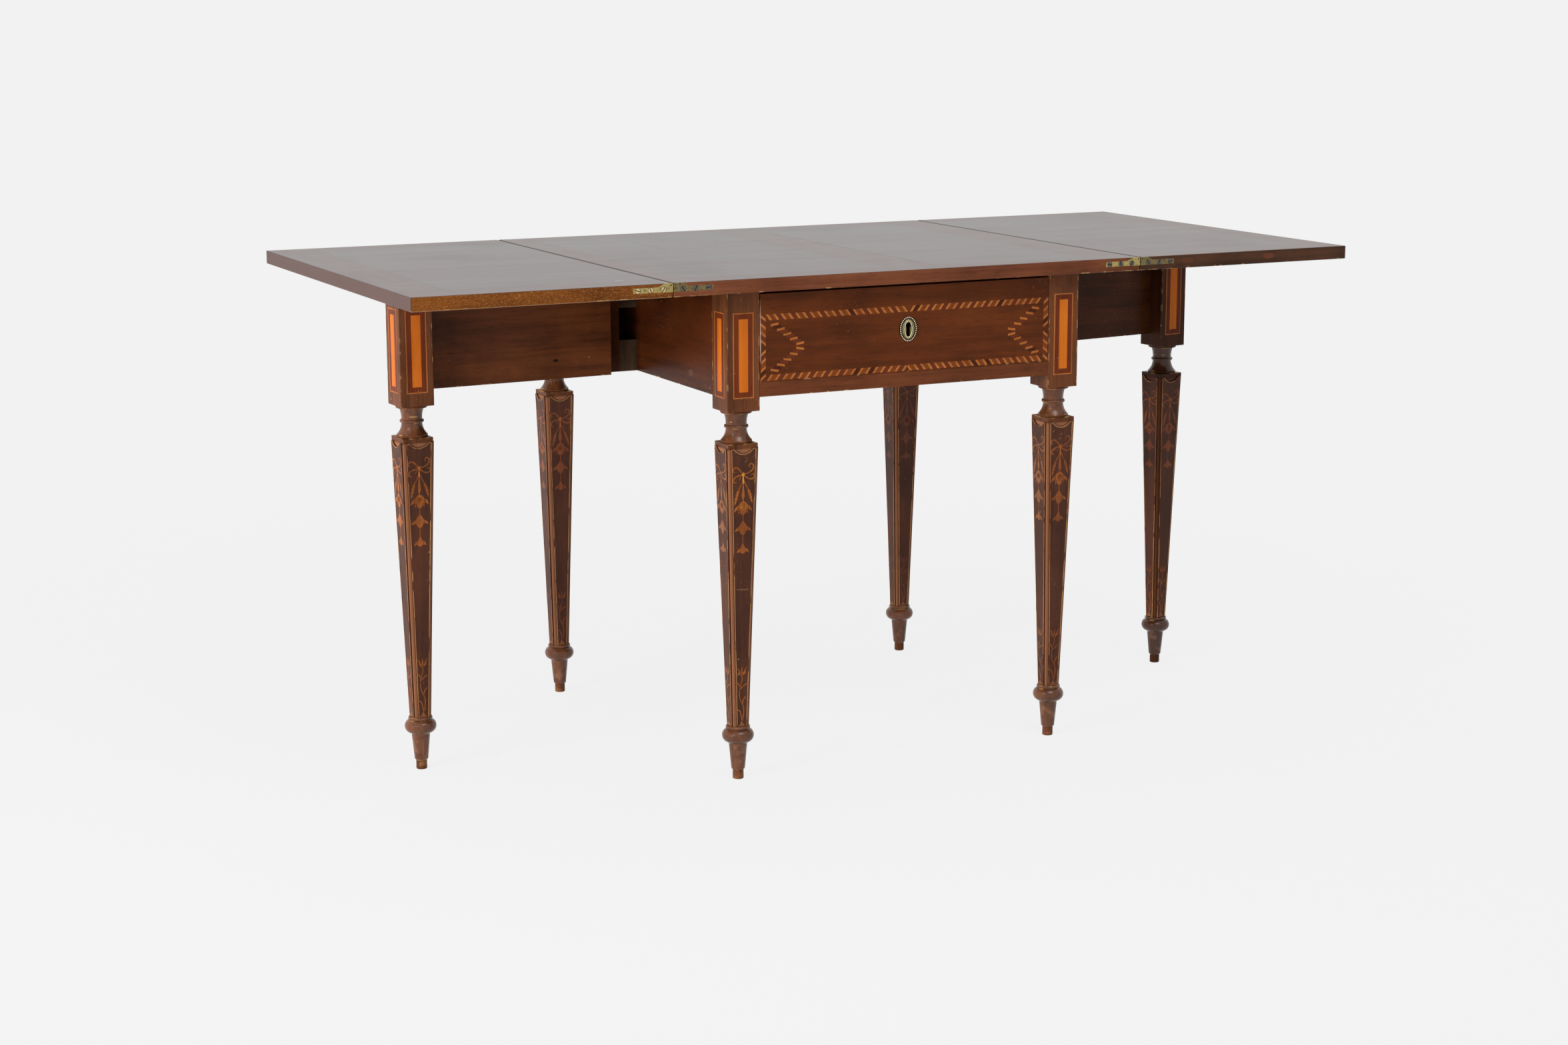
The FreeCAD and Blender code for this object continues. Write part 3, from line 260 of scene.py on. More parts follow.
def make_marks():
    """Handling marks: fine straight scratches in two slanting directions, where noise drawn out that way
    peaks, and small nicks at scattered points."""
    tree, read, give = group("handling_marks", {"Vector": "Vector", "Scratches": "Float", "Nicks": "Float"},
                             {"Mask": "Float"})
    place = read["Vector"]
    scratches = []
    for slant in SCRATCH_SLANTS:
        slanted = rotated(place, (slant, slant, slant))
        scratches.append(ramp(drawn_noise(slanted, along=14.0, across=700.0, detail=0.0), 0.8, 0.86))
    patchy = patches(place, scale=9.0, low=0.54, high=0.68, detail=1.0)
    cell = node(tree, "TexVoronoi", {"Vector": place, "Scale": 70.0}).outputs
    chosen = ramp(node(tree, "SeparateColor", {0: cell["Color"]}).outputs[0], 0.9, 0.92)
    nick = all_of(fall(cell["Distance"], 0.05, 0.1), chosen, read["Nicks"])
    feed(give, {"Mask": any_of(all_of(any_of(*scratches), patchy, read["Scratches"]), nick)})
    return tree


timber = make_timber()
marks = make_marks()


def new_finish(name):
    """A new material, with its tree, its shader and the object's place at hand."""
    material = bpy.data.materials.new(name)
    material.use_nodes = True
    tree = material.node_tree
    return {"material": material, "tree": tree, "shader": tree.nodes["Principled BSDF"],
            "place": node(tree, "TexCoord").outputs["Object"]}


def over(finish, mask, colour):
    """Lays another colour, of the chart or of a node, over a finish where a mask says."""
    paint = colour if linked(colour) else renderer_colour(colour)
    finish["colour"] = blend(mask, finish["colour"], paint)
    feed(finish["shader"], {"Base Color": finish["colour"]})


def cut_timber(along, light, dark, band, streak, pores=0.6, clouds=0.3):
    """One cut of timber with its grain along a turned place: its colour, height and gloss."""
    settings = {"Vector": along, "Light": renderer_colour(light), "Dark": renderer_colour(dark), "Band": band,
                "Streak": streak, "Pores": pores, "Clouds": clouds}
    return node(along.id_data, "Group", settings, node_tree=timber).outputs


def wood_finish(name, light, dark, grain="X", turned=0.0, band=14.0, streak=160.0, pores=0.5, clouds=0.3,
                scratches=0.4, nicks=0.5, worn=(196, 150, 108), roughness=0.28, relief=0.25):
    """A waxed wood: figure along the grain, handling marks in a worn colour, and pores in the bump."""
    finish = new_finish(name)
    tree, place = finish["tree"], finish["place"]
    turn_x, turn_y, turn_z = GRAIN_TURNS[grain]
    along = rotated(place, (turn_x, turn_y, turn_z + turned))
    figure = cut_timber(along, light, dark, band, streak, pores, clouds)
    wear = node(tree, "Group", {"Vector": place, "Scratches": scratches, "Nicks": nicks}, node_tree=marks)
    mask = wear.outputs["Mask"]
    height = calc("SUBTRACT", figure["Height"], mask)
    bump = node(tree, "Bump", {"Strength": relief, "Distance": PORE_DEPTH, "Height": height})
    feed(finish["shader"], {"Roughness": calc("ADD", figure["Gloss"], roughness), "Normal": bump.outputs[0],
                            "Specular IOR Level": WAX_GLOSS})
    finish.update(along=along, colour=figure["Color"])
    over(finish, mask, worn)
    return finish


def polished(finish, amount, roughness):
    """Puts a film of polish over a finish, all over or where a mask says."""
    feed(finish["shader"], {"Coat Weight": amount, "Coat Roughness": roughness})


def axes(finish):
    """The three coordinates of a finish's place."""
    return node(finish["tree"], "SeparateXYZ", {0: finish["place"]}).outputs


def near(value, level, reach):
    """1 at a level of a coordinate, falling to 0 at a distance from it."""
    return fall(calc("ABSOLUTE", calc("SUBTRACT", value, level)), 0.0, reach)


def within(value, low, high, soft=1.5 * MM):
    """1 between two levels of a coordinate, and 0 outside them."""
    return all_of(ramp(value, low - soft, low + soft), fall(value, high - soft, high + soft))


def dress(nodes, finish):
    """Puts a finish on CAD nodes."""
    for name in nodes:
        mesh = frame["nodes"][name].data
        mesh.materials.clear()
        mesh.materials.append(finish["material"])


def leg_finish(name, light, dark, corner):
    """Mahogany of a leg: paler corners along the shaft, pale rubbing at the foot, worn arrises, and a dark
    mottle under more polish on the turned parts."""
    leg_wood = wood_finish(name, light, dark, grain="Z", band=30.0, streak=260.0, scratches=0.5, nicks=0.8)
    place, height = leg_wood["place"], axes(leg_wood)["Z"]
    # The corners of the shaft: the core wood's own red, laid paler as well for a painted sheen.
    over(leg_wood, all_of(within(height, SHAFT_FOOT, CORNER_HEAD), CORNER_SHARE), corner)
    patchy = patches(place, scale=60.0, low=0.5, high=0.66)
    over(leg_wood, all_of(ramp(height, *RUBBED_FOOT, 0.5, 0.0), patchy), RUBBED_COLOUR)
    chipped = patches(place, scale=85.0, low=0.5, high=0.64)
    for level in WORN_LEVELS:
        over(leg_wood, all_of(near(height, level, ARRIS_REACH), chipped), CHIP_COLOUR)
    neck = within(height, SHAFT_HEAD + NECK_MARGIN, BLOCK_FOOT - NECK_MARGIN)
    turned = any_of(neck, within(height, PEG_HEAD, SHAFT_FOOT))
    mottle = patches(place, scale=110.0, low=0.5, high=0.66)
    over(leg_wood, all_of(turned, mottle, MOTTLE_SHARE), MOTTLE_COLOUR)
    polished(leg_wood, all_of(turned, TURNED_POLISH), POLISH_ROUGHNESS)
    return leg_wood


dress([leg for leg in LEGS if leg != "right_gate_leg"],
      leg_finish("leg_mahogany", (110, 64, 38), (80, 45, 25), (154, 102, 73)))
# Painted shade: the right gate leg, under the right leaf, gets a darker copy of the leg wood and corner.
dress(["right_gate_leg"], leg_finish("shaded_leg_mahogany", (70, 37, 20), (46, 24, 13), (92, 54, 34)))

# The inlay of the leg blocks: a satinwood field in a mitred dark band with a light string round it, let into
# the faces that show. The gate legs have it on the three faces that their arms leave free.
ALL_ROUND = TO_FRONT, TO_BACK, TO_LEFT, TO_RIGHT = 270, 90, 180, 0
INLAID_FACES = {"front_left_leg": (TO_FRONT, TO_LEFT), "front_right_leg": (TO_FRONT, TO_RIGHT),
                "back_left_leg": (TO_BACK, TO_LEFT), "back_right_leg": (TO_BACK, TO_RIGHT),
                **dict.fromkeys(GATES, (TO_FRONT, TO_LEFT, TO_RIGHT))}
SUNK, PROUD = -0.2 * MM, 0.12 * MM
BACKWARDS = [0, 3, 2, 1]
INLAY_WIDTH, INLAY_LOW, INLAY_HIGH = 34.0 * MM, 597.5 * MM, 726.3 * MM
STRING, DARK_BAND = 1.6 * MM, 7.8 * MM
joints = {joint["name"]: joint for joint in frame["joints"]}
block_low, block_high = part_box("front_left_leg")


def unit(vectors):
    """Vectors scaled to a length of 1."""
    return vectors / np.linalg.norm(vectors, axis=1, keepdims=True)


def grid_quads(rows, columns, closed=True):
    """Faces between the points of a grid, counted row by row. Each row is a ring, and a closed grid joins its
    last row to its first too."""
    row, column = np.meshgrid(np.arange(rows if closed else rows - 1), np.arange(columns), indexing="ij")
    here, there = row * columns, (row + 1) % rows * columns
    beside = (column + 1) % columns
    return np.stack((here + column, here + beside, there + beside, there + column), axis=-1).reshape(-1, 4)


def strip(path, half_width, across=None, closed=False, tone=1.0):
    """A thin inlaid strip: a flat section of four corners carried along a path on a face. Corner k at step i
    lies at path[i] + side[k] * half_width[i] * across[i], at depth level[k]. Gives points (across, up, out),
    quads and the strip's tone."""
    path = np.asarray(path, float)
    steps = len(path)
    if across is None:
        along = unit(np.gradient(path, axis=0))
        across = np.stack((along[:, 1], -along[:, 0]), axis=1)
    reach = np.broadcast_to(half_width, steps)[:, None, None] * np.broadcast_to(across, path.shape)[:, None]
    side = np.array((-1, -1, 1, 1))[None, :, None]
    level = np.broadcast_to(np.array((SUNK, PROUD, PROUD, SUNK))[None, :, None], (steps, 4, 1))
    points = np.concatenate((path[:, None] + side * reach, level), axis=2).reshape(-1, 3)
    quads = grid_quads(steps, 4, closed)
    if not closed:
        quads = np.concatenate((quads, (BACKWARDS, 4 * (steps - 1) + np.arange(4))))
    return points, quads, tone


def frame_strip(inset, line):
    """A strip round the inlay, its outer edge at an inset from the inlay's, with mitred corners."""
    half = np.array((INLAY_WIDTH, INLAY_HIGH - INLAY_LOW)) / 2 - inset - line / 2
    outward = np.array(((-1, -1), (1, -1), (1, 1), (-1, 1)))
    return strip((0, (INLAY_LOW + INLAY_HIGH) / 2) + outward * half, line / 2, outward, closed=True)


def gate_turn(gate):
    """How far a gate stands open at rest, in degrees about the vertical: its hinge's full swing."""
    swing = joints[f"{gate}_swing"]
    return -swing["axis"][2] * swing["range_deg"][1]


def laid(leg, looks, reach, strips):
    """Strips laid on the faces of a leg that look given ways, in degrees, with its gate shut. Point (u, v, d)
    goes to the leg's middle + u * across + v * up + (reach(v) + d) * out."""
    low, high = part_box(leg)
    middle = np.array((low + high) / 2) * (1, 1, 0)
    turn = gate_turn(GATES[leg]) if leg in GATES else 0.0
    placed = []
    for look in looks:
        angle = math.radians(look + turn)
        out = np.array((math.cos(angle), math.sin(angle), 0))
        across = np.array((-math.sin(angle), math.cos(angle), 0))
        for points, quads, tone in strips:
            u, v, d = points.T[:, :, None]
            placed.append((middle + across * u + np.array((0, 0, 1)) * v + out * (reach(v) + d), quads, tone))
    return placed


def inlaid(name, placed, finish, body, smooth=False):
    """One piece from many placed strips of (points, quads, tone), with the tone of each as an attribute."""
    counts = [len(points) for points, _, _ in placed]
    points = np.concatenate([points for points, _, _ in placed])
    starts = np.cumsum([0] + counts[:-1])
    quads = np.concatenate([quads + start for (_, quads, _), start in zip(placed, starts)])
    mesh = bpy.data.meshes.new(name)
    mesh.from_pydata(points.tolist(), [], quads.tolist(), shade_flat=not smooth)
    tones = mesh.attributes.new("tone", "FLOAT", "POINT")
    tones.data.foreach_set("value", np.repeat([tone for _, _, tone in placed], counts))
    mesh.materials.append(finish["material"])
    piece = bpy.data.objects.new(name, mesh)
    bpy.context.scene.collection.objects.link(piece)
    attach(piece, body)


def block_face(height):
    """How far the face of a block lies from the middle of the leg, the same at every height."""
    return (block_high.x - block_low.x) / 2


satinwood = wood_finish("satinwood", (202, 109, 30), (176, 88, 21), grain="Z", band=60.0, streak=420.0,
                        pores=0.15, clouds=0.1, scratches=0.2, worn=(120, 58, 22), relief=0.1)
string_wood = wood_finish("light_stringing", (184, 112, 56), (140, 76, 34), grain="Z", band=60.0,
                          streak=300.0, pores=0.3, nicks=0.0)
band_wood = wood_finish("dark_banding", (108, 48, 22), (86, 36, 16), grain="Z", band=50.0, streak=350.0)
field_inset = STRING + DARK_BAND
field = strip(((0, INLAY_LOW + field_inset), (0, INLAY_HIGH - field_inset)), INLAY_WIDTH / 2 - field_inset)
BLOCK_INLAY = (("string", string_wood, frame_strip(0, STRING)),
               ("dark_band", band_wood, frame_strip(STRING, DARK_BAND)), ("satinwood", satinwood, field))
for leg, body in LEGS.items():
    for part, finish, inlay in BLOCK_INLAY:
        faces = laid(leg, INLAID_FACES[leg], block_face, [inlay])
        inlaid(f"{leg}_block_{part}", faces, finish, body)

# The vertical arrises of the blocks: bare mahogany where the polish has been rubbed off, pale in broken
# lines just inside each edge.
ARRIS_INSET, ARRIS_LINE, BARE_COLOUR = 1.3 * MM, 0.5 * MM, (198, 152, 96)
arris_wood = wood_finish("rubbed_arris", (118, 72, 44), (92, 54, 32), grain="Z", nicks=0.0)
over(arris_wood, patches(arris_wood["place"], scale=55.0, low=0.54, high=0.6), BARE_COLOUR)
arris_place = block_face(BLOCK_FOOT) - ARRIS_INSET
arrises = [strip(((place, BLOCK_FOOT + ARRIS_INSET), (place, BLOCK_HEAD)), ARRIS_LINE / 2)
           for place in (-arris_place, arris_place)]
for leg, body in LEGS.items():
    faces = laid(leg, ALL_ROUND, block_face, arrises)
    inlaid(f"{leg}_worn_arrises", faces, arris_wood, body)

# The veneers of the shafts: dark brown plates glued to the four faces of each shaft, scalloped at the top,
# with a thin light string let in along their edges. One veneer has cracked across.
SHAFT_HEAD_WIDTH, SHAFT_FOOT_WIDTH = 49 * MM, 24 * MM
VENEER, VENEER_INSET, VENEER_TOP = 2.6 * MM, 3.6 * MM, 521.5 * MM
SCALLOP_WIDTH, SCALLOP_DEPTH = 31 * MM, 8 * MM
EDGE_LINE, EDGE_MARGIN, CRACK_LINE, CRACK_LEVEL = 0.9 * MM, 0.2 * MM, 0.6 * MM, 303
SHAFT_POLISH, DULLED_STRING = (0.14, 0.3), (84, 48, 32)


def shaft_half(height):
    """Half the width of the tapered shaft at a height."""
    share = (height - SHAFT_FOOT) / (SHAFT_HEAD - SHAFT_FOOT)
    return (SHAFT_FOOT_WIDTH + share * (SHAFT_HEAD_WIDTH - SHAFT_FOOT_WIDTH)) / 2


def veneer_face(height):
    """How far the outside of a veneer lies from the middle of the leg."""
    return shaft_half(height) + VENEER


def compass(angle):
    """Directions in a plane at given angles."""
    return np.stack((np.cos(angle), np.sin(angle)), axis=1)


def edge_string():
    """The line round a veneer: up one edge, over the ear, under the scallop's arc and down the other side."""
    inset = VENEER_INSET + EDGE_LINE / 2 + EDGE_MARGIN
    radius = (SCALLOP_WIDTH ** 2 / 4 + SCALLOP_DEPTH ** 2) / (2 * SCALLOP_DEPTH)
    spread = math.asin(SCALLOP_WIDTH / 2 / radius)
    arc = compass(np.linspace(spread, -spread, 21) - math.pi / 2) * (radius + EDGE_LINE)
    arc += (0, VENEER_TOP + radius - SCALLOP_DEPTH)
    foot, ear = SHAFT_FOOT + EDGE_LINE, VENEER_TOP - EDGE_LINE
    right = np.array(((shaft_half(foot) - inset, foot), (shaft_half(ear) - inset, ear)))
    return strip(np.concatenate((right, arc, right[::-1] * (-1, 1))), EDGE_LINE / 2)


veneer = wood_finish("shaft_veneer", (82, 44, 27), (60, 32, 19), grain="Z", band=40.0, streak=300.0,
                     roughness=0.32, scratches=0.6, nicks=0.6)
polished(veneer, *SHAFT_POLISH)
dress([f"{leg}_veneers" for leg in LEGS], veneer)
edge_wood = wood_finish("edge_stringing", (204, 156, 102), (152, 104, 62), grain="Z", band=60.0,
                        streak=60.0, nicks=0.0)
over(edge_wood, patches(edge_wood["place"], scale=32.0, low=0.54, high=0.64), DULLED_STRING)
for leg, body in LEGS.items():
    faces = laid(leg, ALL_ROUND, veneer_face, [edge_string()])
    inlaid(f"{leg}_edge_strings", faces, edge_wood, body)
run = np.linspace(-10, 9, 24)
crack = strip(np.stack((run, CRACK_LEVEL + 0.8 * np.sin(run) - 0.06 * run), axis=1) * MM, CRACK_LINE / 2)
faces = laid("front_left_leg", (TO_FRONT,), veneer_face, [crack])
inlaid("front_left_leg_crack", faces, edge_wood, "frame")

# The marquetry of the shafts, the same on every face: a ribbon bow with a drop, two leaf sprays and three
# hanging bellflowers above, and a tulip on a winding stem above a mound at the foot. It is light wood let
# into the veneer, in millimetres across the face and above the floor.
PLAIN, BRIGHT, FAINT, FAINT_AND_GLARE_COLOUR = 1.0, 1.7, 0.75, (124, 82, 50)
BELL_AXIS = -0.6
RIBBONS = (((-2.0, 482.5), 122, 28.4, 278), ((0.7, 482.0), 15, 36.3, 355), ((-3.9, 481.1), 190, 24.2, 230),
           ((0.7, 480.4), -38, 29.1, 308))
BOW_DROPS = (
    (BRIGHT, (485, 484, 482, 480, 478.5), (0.8, 2.4, 2.9, 2.3, 0.8), 10),
    (BRIGHT, (480, 476, 472, 470, 468, 467), (0.7, 1.0, 1.6, 1.75, 1.2, 0.5)),
    (PLAIN, (468, 460, 453, 449, 446, 443.5, 441), (0.6, 1.3, 2.2, 2.6, 2.0, 1.0, 0.6)))
LEAVES = (((-7.8, 459.3), (-14.7, 434.5)), ((7.2, 459.3), (14.6, 436.1)))
BELLS = (
    ((441, 439.5, 437, 434, 431, 428, 425.5, 424, 422, 420, 419),
     (0.8, 3.5, 6.0, 8.0, 9.5, 9.3, 7.2, 5.0, 4.2, 2.5, 0.5), (14.8, 424.8), (8.0, 431.5)),
    ((410, 407, 404, 401, 398, 395.5, 393.5, 391, 389, 388),
     (0.8, 2.8, 5.0, 6.8, 8.0, 7.0, 4.6, 4.0, 2.4, 0.4), (13.6, 394.2), (6.5, 398.5)),
    ((375, 371.5, 368, 364.5, 362, 360.5, 359),
     (0.7, 2.2, 4.0, 5.4, 4.6, 3.0, 0.4), (9.6, 360.8), (4.4, 365.5)))
BELL_EYE = (436.5, 435, 432, 429, 427.5), (0.5, 3.6, 4.8, 3.6, 0.5), 12
PETALS = (
    (1.6, 0.2, ((-6.2, 427), (-7.4, 424), (-7.8, 420.5))),
    (1.6, 0.2, ((5.0, 427), (6.4, 424), (6.8, 421.5))),
    (1.9, 0.3, ((-0.5, 168.5), (-5.0, 172.0), (-5.2, 176.0), (-8.5, 179.5))),
    (1.9, 0.3, ((-0.5, 168.5), (4.4, 172.0), (4.6, 176.0), (8.0, 180.2))),
    (1.9, 0.3, ((-0.5, 168.5), (-0.6, 175.0), (-0.4, 180.7))))
STEMS = (
    (0.5, ((-3.9, 479.8), (-5.2, 476.5), (-6.9, 473.6))),
    (0.6, ((-1.3, 471.3), (-5.2, 463.5), (-8.5, 458.3))),
    (0.6, ((1.6, 470.7), (4.8, 463.5), (8.1, 458.3))),
    (0.6, ((BELL_AXIS, 419.5), (BELL_AXIS, 409))),
    (0.55, ((BELL_AXIS, 388.5), (BELL_AXIS, 374))),
    (0.65, ((-1.5, 168), (0, 162), (-2.2, 153.5), (-4.1, 146), (-4.4, 139), (-3.7, 131), (0, 122.6),
            (2.5, 116.7), (2.9, 109), (1.5, 99), (-0.7, 93))),
    (0.8, ((-3.7, 150), (-7.4, 155.7), (-10.4, 158))),
    (0.8, ((-2.9, 146), (2.2, 150.5), (6.9, 153.5))),
    (0.8, ((0.7, 122.6), (2.2, 128.4), (5.9, 133.6))),
    (0.8, ((0, 94.6), (-1.5, 103.4), (-3.7, 110.8), (-8.3, 113.4))))
MOUND = (95.5, 91.5, 88.5, 86), (0.5, 1.8, 4.0, 7.0), 10


def scroll(start, heading, length, turn):
    """A ribbon whose heading is heading + turn * s**2.6 over its length, so that the bend tightens to a curl,
    with a half width of 0.85 + 0.3 * sin(pi * s) - 0.5 * s**8."""
    s = np.linspace(0, 1, 36)
    step = compass(np.radians(heading + turn * s ** 2.6)) * length / (len(s) - 1)
    path = start + np.concatenate((np.zeros((1, 2)), np.cumsum(step[:-1], axis=0)))
    return path, 0.85 + 0.3 * np.sin(math.pi * s) - 0.5 * s ** 8


def curve(points, steps=20):
    """A smooth line through points, which passes each along the line between its neighbours."""
    known = np.asarray(points, float)
    known = np.vstack((2 * known[0] - known[1], known, 2 * known[-1] - known[-2]))
    t = np.linspace(0, len(known) - 3 - 1e-9, steps)
    first = t.astype(int)
    f = (t - first)[:, None]
    a, b, c, d = (known[first + k] for k in range(4))
    return b + 0.5 * f * (c - a + f * (2 * a - 5 * b + 4 * c - d + f * (3 * (b - c) + d - a)))


def hanging(levels, halves, steps=28):
    """An upright form on the bells' axis, given by its half width at a few levels."""
    path = np.stack((np.full(steps, BELL_AXIS), np.linspace(levels[0], levels[-1], steps)), axis=1)
    return path, np.interp(-path[:, 1], -np.array(levels), halves)


def leaf(base, tip):
    """A serrated leaf: half width 6.4 * t**0.5 * (1 - t)**0.6, cut back by five slanting teeth."""
    t = np.linspace(0, 1, 60)
    bow = np.stack((np.zeros(60), 2.0 * np.sin(math.pi * t)), axis=1)
    path = np.array(base) + t[:, None] * (np.array(tip) - base) + bow
    return path, np.maximum(0.15, 6.4 * t ** 0.5 * (1 - t) ** 0.6 * (1 - 0.6 * (5 * t % 1)))


def bell(levels, halves, tip, root):
    """A bellflower: its body, and on each side a pointed petal that flares from a root to a tip, with a half
    width of 2.6 * (1 - t**2)."""
    forms = [hanging(levels, halves)]
    for way in (-1, 1):
        ends = np.array((root, ((root[0] + tip[0]) / 2, root[1] - 0.35 * (root[1] - tip[1])), tip))
        forms.append((curve(ends * (way, 1) + (BELL_AXIS, 0), 10), 2.6 * (1 - np.linspace(0, 0.95, 10) ** 2)))
    return forms


def marquetry():
    """All the forms on one face, as strips along a path with a half width and a tone each."""
    forms = [(*scroll(*ribbon), PLAIN) for ribbon in RIBBONS]
    forms += [(*hanging(*drop), tone) for tone, *drop in BOW_DROPS]
    forms += [(*leaf(*ends), PLAIN) for ends in LEAVES]
    forms += [(*form, PLAIN) for flower in BELLS for form in bell(*flower)]
    forms.append((*hanging(*BELL_EYE), BRIGHT))
    forms += [(curve(points), np.linspace(root, tip, 20), PLAIN) for root, tip, points in PETALS]
    forms += [(curve(points, 6 * len(points)), half, PLAIN) for half, points in STEMS]
    forms.append((*hanging(*MOUND), FAINT))
    return [strip(path * MM, half * MM, tone=tone) for path, half, tone in forms]


def tone_of(finish):
    """The tone that the strips of an inlaid piece carry."""
    return node(finish["tree"], "Attribute", attribute_name="tone").outputs["Fac"]


def marquetry_finish(name, light, dark, bright):
    """Light wood of the marquetry, with brighter and fainter forms by their tone."""
    wood = wood_finish(name, light, dark, grain="Z", band=90.0, streak=350.0, clouds=0.4, scratches=0.8,
                       nicks=0.4, worn=(74, 42, 28))
    tone = tone_of(wood)
    over(wood, ramp(tone, PLAIN, BRIGHT), bright)
    # Faint forms are dulled towards a muted brown: the mound, and every form on the faces with painted glare.
    over(wood, ramp(tone, FAINT, PLAIN, 0.7, 0.0), FAINT_AND_GLARE_COLOUR)
    over(wood, all_of(patches(wood["place"], scale=150.0, low=0.46, high=0.62), 0.6), dark)
    polished(wood, *SHAFT_POLISH)
    return wood


golden = marquetry_finish("marquetry_wood", (176, 101, 40), (124, 66, 26), (204, 134, 46))
# Painted shade: the reddened and the dimmest copy stand for the back legs and right gate leg in shade.
reddened = marquetry_finish("reddened_marquetry", (142, 77, 43), (108, 57, 33), (148, 84, 46))
shade_dimmed = marquetry_finish("shade_dimmed_marquetry", (116, 66, 44), (90, 50, 34), (120, 70, 46))
even = marquetry_finish("even_marquetry", (172, 96, 40), (124, 66, 26), (176, 99, 41))
tawny = marquetry_finish("tawny_marquetry", (154, 86, 41), (112, 59, 28), (156, 88, 42))
LEG_TONES = {"front_left_leg": golden, "front_right_leg": tawny, "left_gate_leg": even,
             "back_left_leg": reddened, "right_gate_leg": reddened, "back_right_leg": shade_dimmed}
# Painted glare: on the left faces of the two front legs every form is laid faint, dulled towards a muted
# brown.
GLARE_FACES = (("front_left_leg", TO_LEFT), ("front_right_leg", TO_LEFT))
motif = marquetry()
glare_motif = [(points, quads, min(tone, FAINT)) for points, quads, tone in motif]
for leg, body in LEGS.items():
    faces = []
    for look in ALL_ROUND:
        faces += laid(leg, (look,), veneer_face, glare_motif if (leg, look) in GLARE_FACES else motif)
    inlaid(f"{leg}_marquetry", faces, LEG_TONES[leg], body)

# The rails of the frame, tenoned into the legs, with their grain along each rail. The side rails are
# scratched where the gates rub against them, and have a plugged hole near the front.
SIDES = ("left", "right")
PALE_CHIP = (190, 150, 100)
PLUG_PLACE, PLUG_SIZE, PLUG_COLOUR = (-209.6 * MM, 621.4 * MM), (9 * MM, 6 * MM), (88, 54, 33)
RAIL_CHIPS = (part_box("front_rail")[0].z, 2.2 * MM, 70.0)


def spot(first, second, place, size):
    """A soft-edged oval on two coordinates, as a mask: 1 near the middle, and 0 where the squares of the
    distances, as shares of the half sizes, add up to 1."""
    parts = [calc("POWER", calc("DIVIDE", calc("SUBTRACT", value, middle), half), 2.0)
             for value, middle, half in zip((first, second), place, size)]
    return fall(calc("ADD", *parts), 0.6, 1.0)


def chip_edge(finish, level, reach, scale):
    """Lays pale chips along the lower edge of a piece, from its level up to a reach."""
    chips = patches(finish["place"], scale, low=0.58, high=0.66)
    over(finish, all_of(near(axes(finish)["Z"], level, reach), chips), PALE_CHIP)


front_wood = wood_finish("front_mahogany", (112, 61, 34), (80, 41, 21), band=16.0, streak=190.0)
chip_edge(front_wood, *RAIL_CHIPS)
dress(["front_rail", "back_rail"], front_wood)
# Painted shade: the side and hinge rails get a darker mahogany than the front rails, for the shade under the
# leaves.
side_wood = wood_finish("side_mahogany", (82, 38, 14), (50, 22, 8), grain="Y", band=12.0, streak=150.0,
                        scratches=1.0, nicks=1.0)
_, side_y, side_z = axes(side_wood)
over(side_wood, spot(side_y, side_z, PLUG_PLACE, PLUG_SIZE), PLUG_COLOUR)
chip_edge(side_wood, *RAIL_CHIPS)
dress([f"{side}_{rail}_rail" for side in SIDES for rail in ("side", "hinge")], side_wood)

# The gate arms, each a mahogany rail hung on the hinge rail by a pair of butts, with its grain along the
# arm. The left one shows a small dark knot.
KNOT_PLACE, KNOT_SIZE, KNOT_COLOUR = (-457.7 * MM, 627.1 * MM), (5 * MM, 2.6 * MM), (26, 14, 9)
# Painted shade: the right arm's mahogany is darker than the left's, for the shade under the right leaf.
ARM_SHADES = {"left": ((104, 56, 28), (66, 34, 17)), "right": ((88, 46, 22), (56, 28, 13))}
for side, shades in ARM_SHADES.items():
    arm_turn = -math.radians(gate_turn(f"{side}_gate"))
    arm_wood = wood_finish(f"{side}_arm_mahogany", *shades, grain="Y", turned=arm_turn, streak=170.0)
    arm_x, _, arm_z = axes(arm_wood)
    over(arm_wood, spot(arm_x, arm_z, KNOT_PLACE, KNOT_SIZE), KNOT_COLOUR)
    chip_edge(arm_wood, *RAIL_CHIPS)
    dress([f"{side}_gate_arm"], arm_wood)

# The plain wood inside: rail blocks, runners, guides, stops, kickers and corner blocks, sawn from bare wood
# and glued to the rails. The heads of the rail blocks, just under the top, are darkened as painted shade.
SHADED_HEAD, HEAD_SHADE_COLOUR = (700 * MM, 720 * MM), (30, 19, 14)
raw_wood = wood_finish("raw_block_wood", (92, 70, 51), (58, 41, 29), grain="Z", band=40.0, streak=120.0,
                       roughness=0.64, clouds=0.7, worn=(160, 140, 116))
# Painted shade: the rail blocks are laid nearly black above 700 mm, under the top.
over(raw_wood, ramp(axes(raw_wood)["Z"], *SHADED_HEAD), HEAD_SHADE_COLOUR)
dress([f"{side}_rail_blocks" for side in SIDES], raw_wood)
lining = wood_finish("lining_wood", (186, 148, 104), (140, 102, 66), grain="Y", band=20.0, streak=140.0,
                     roughness=0.54, clouds=0.5, worn=(90, 64, 42))
dress(["drawer_runners", "drawer_guides", "drawer_stops", "drawer_kickers", "corner_blocks"], lining)

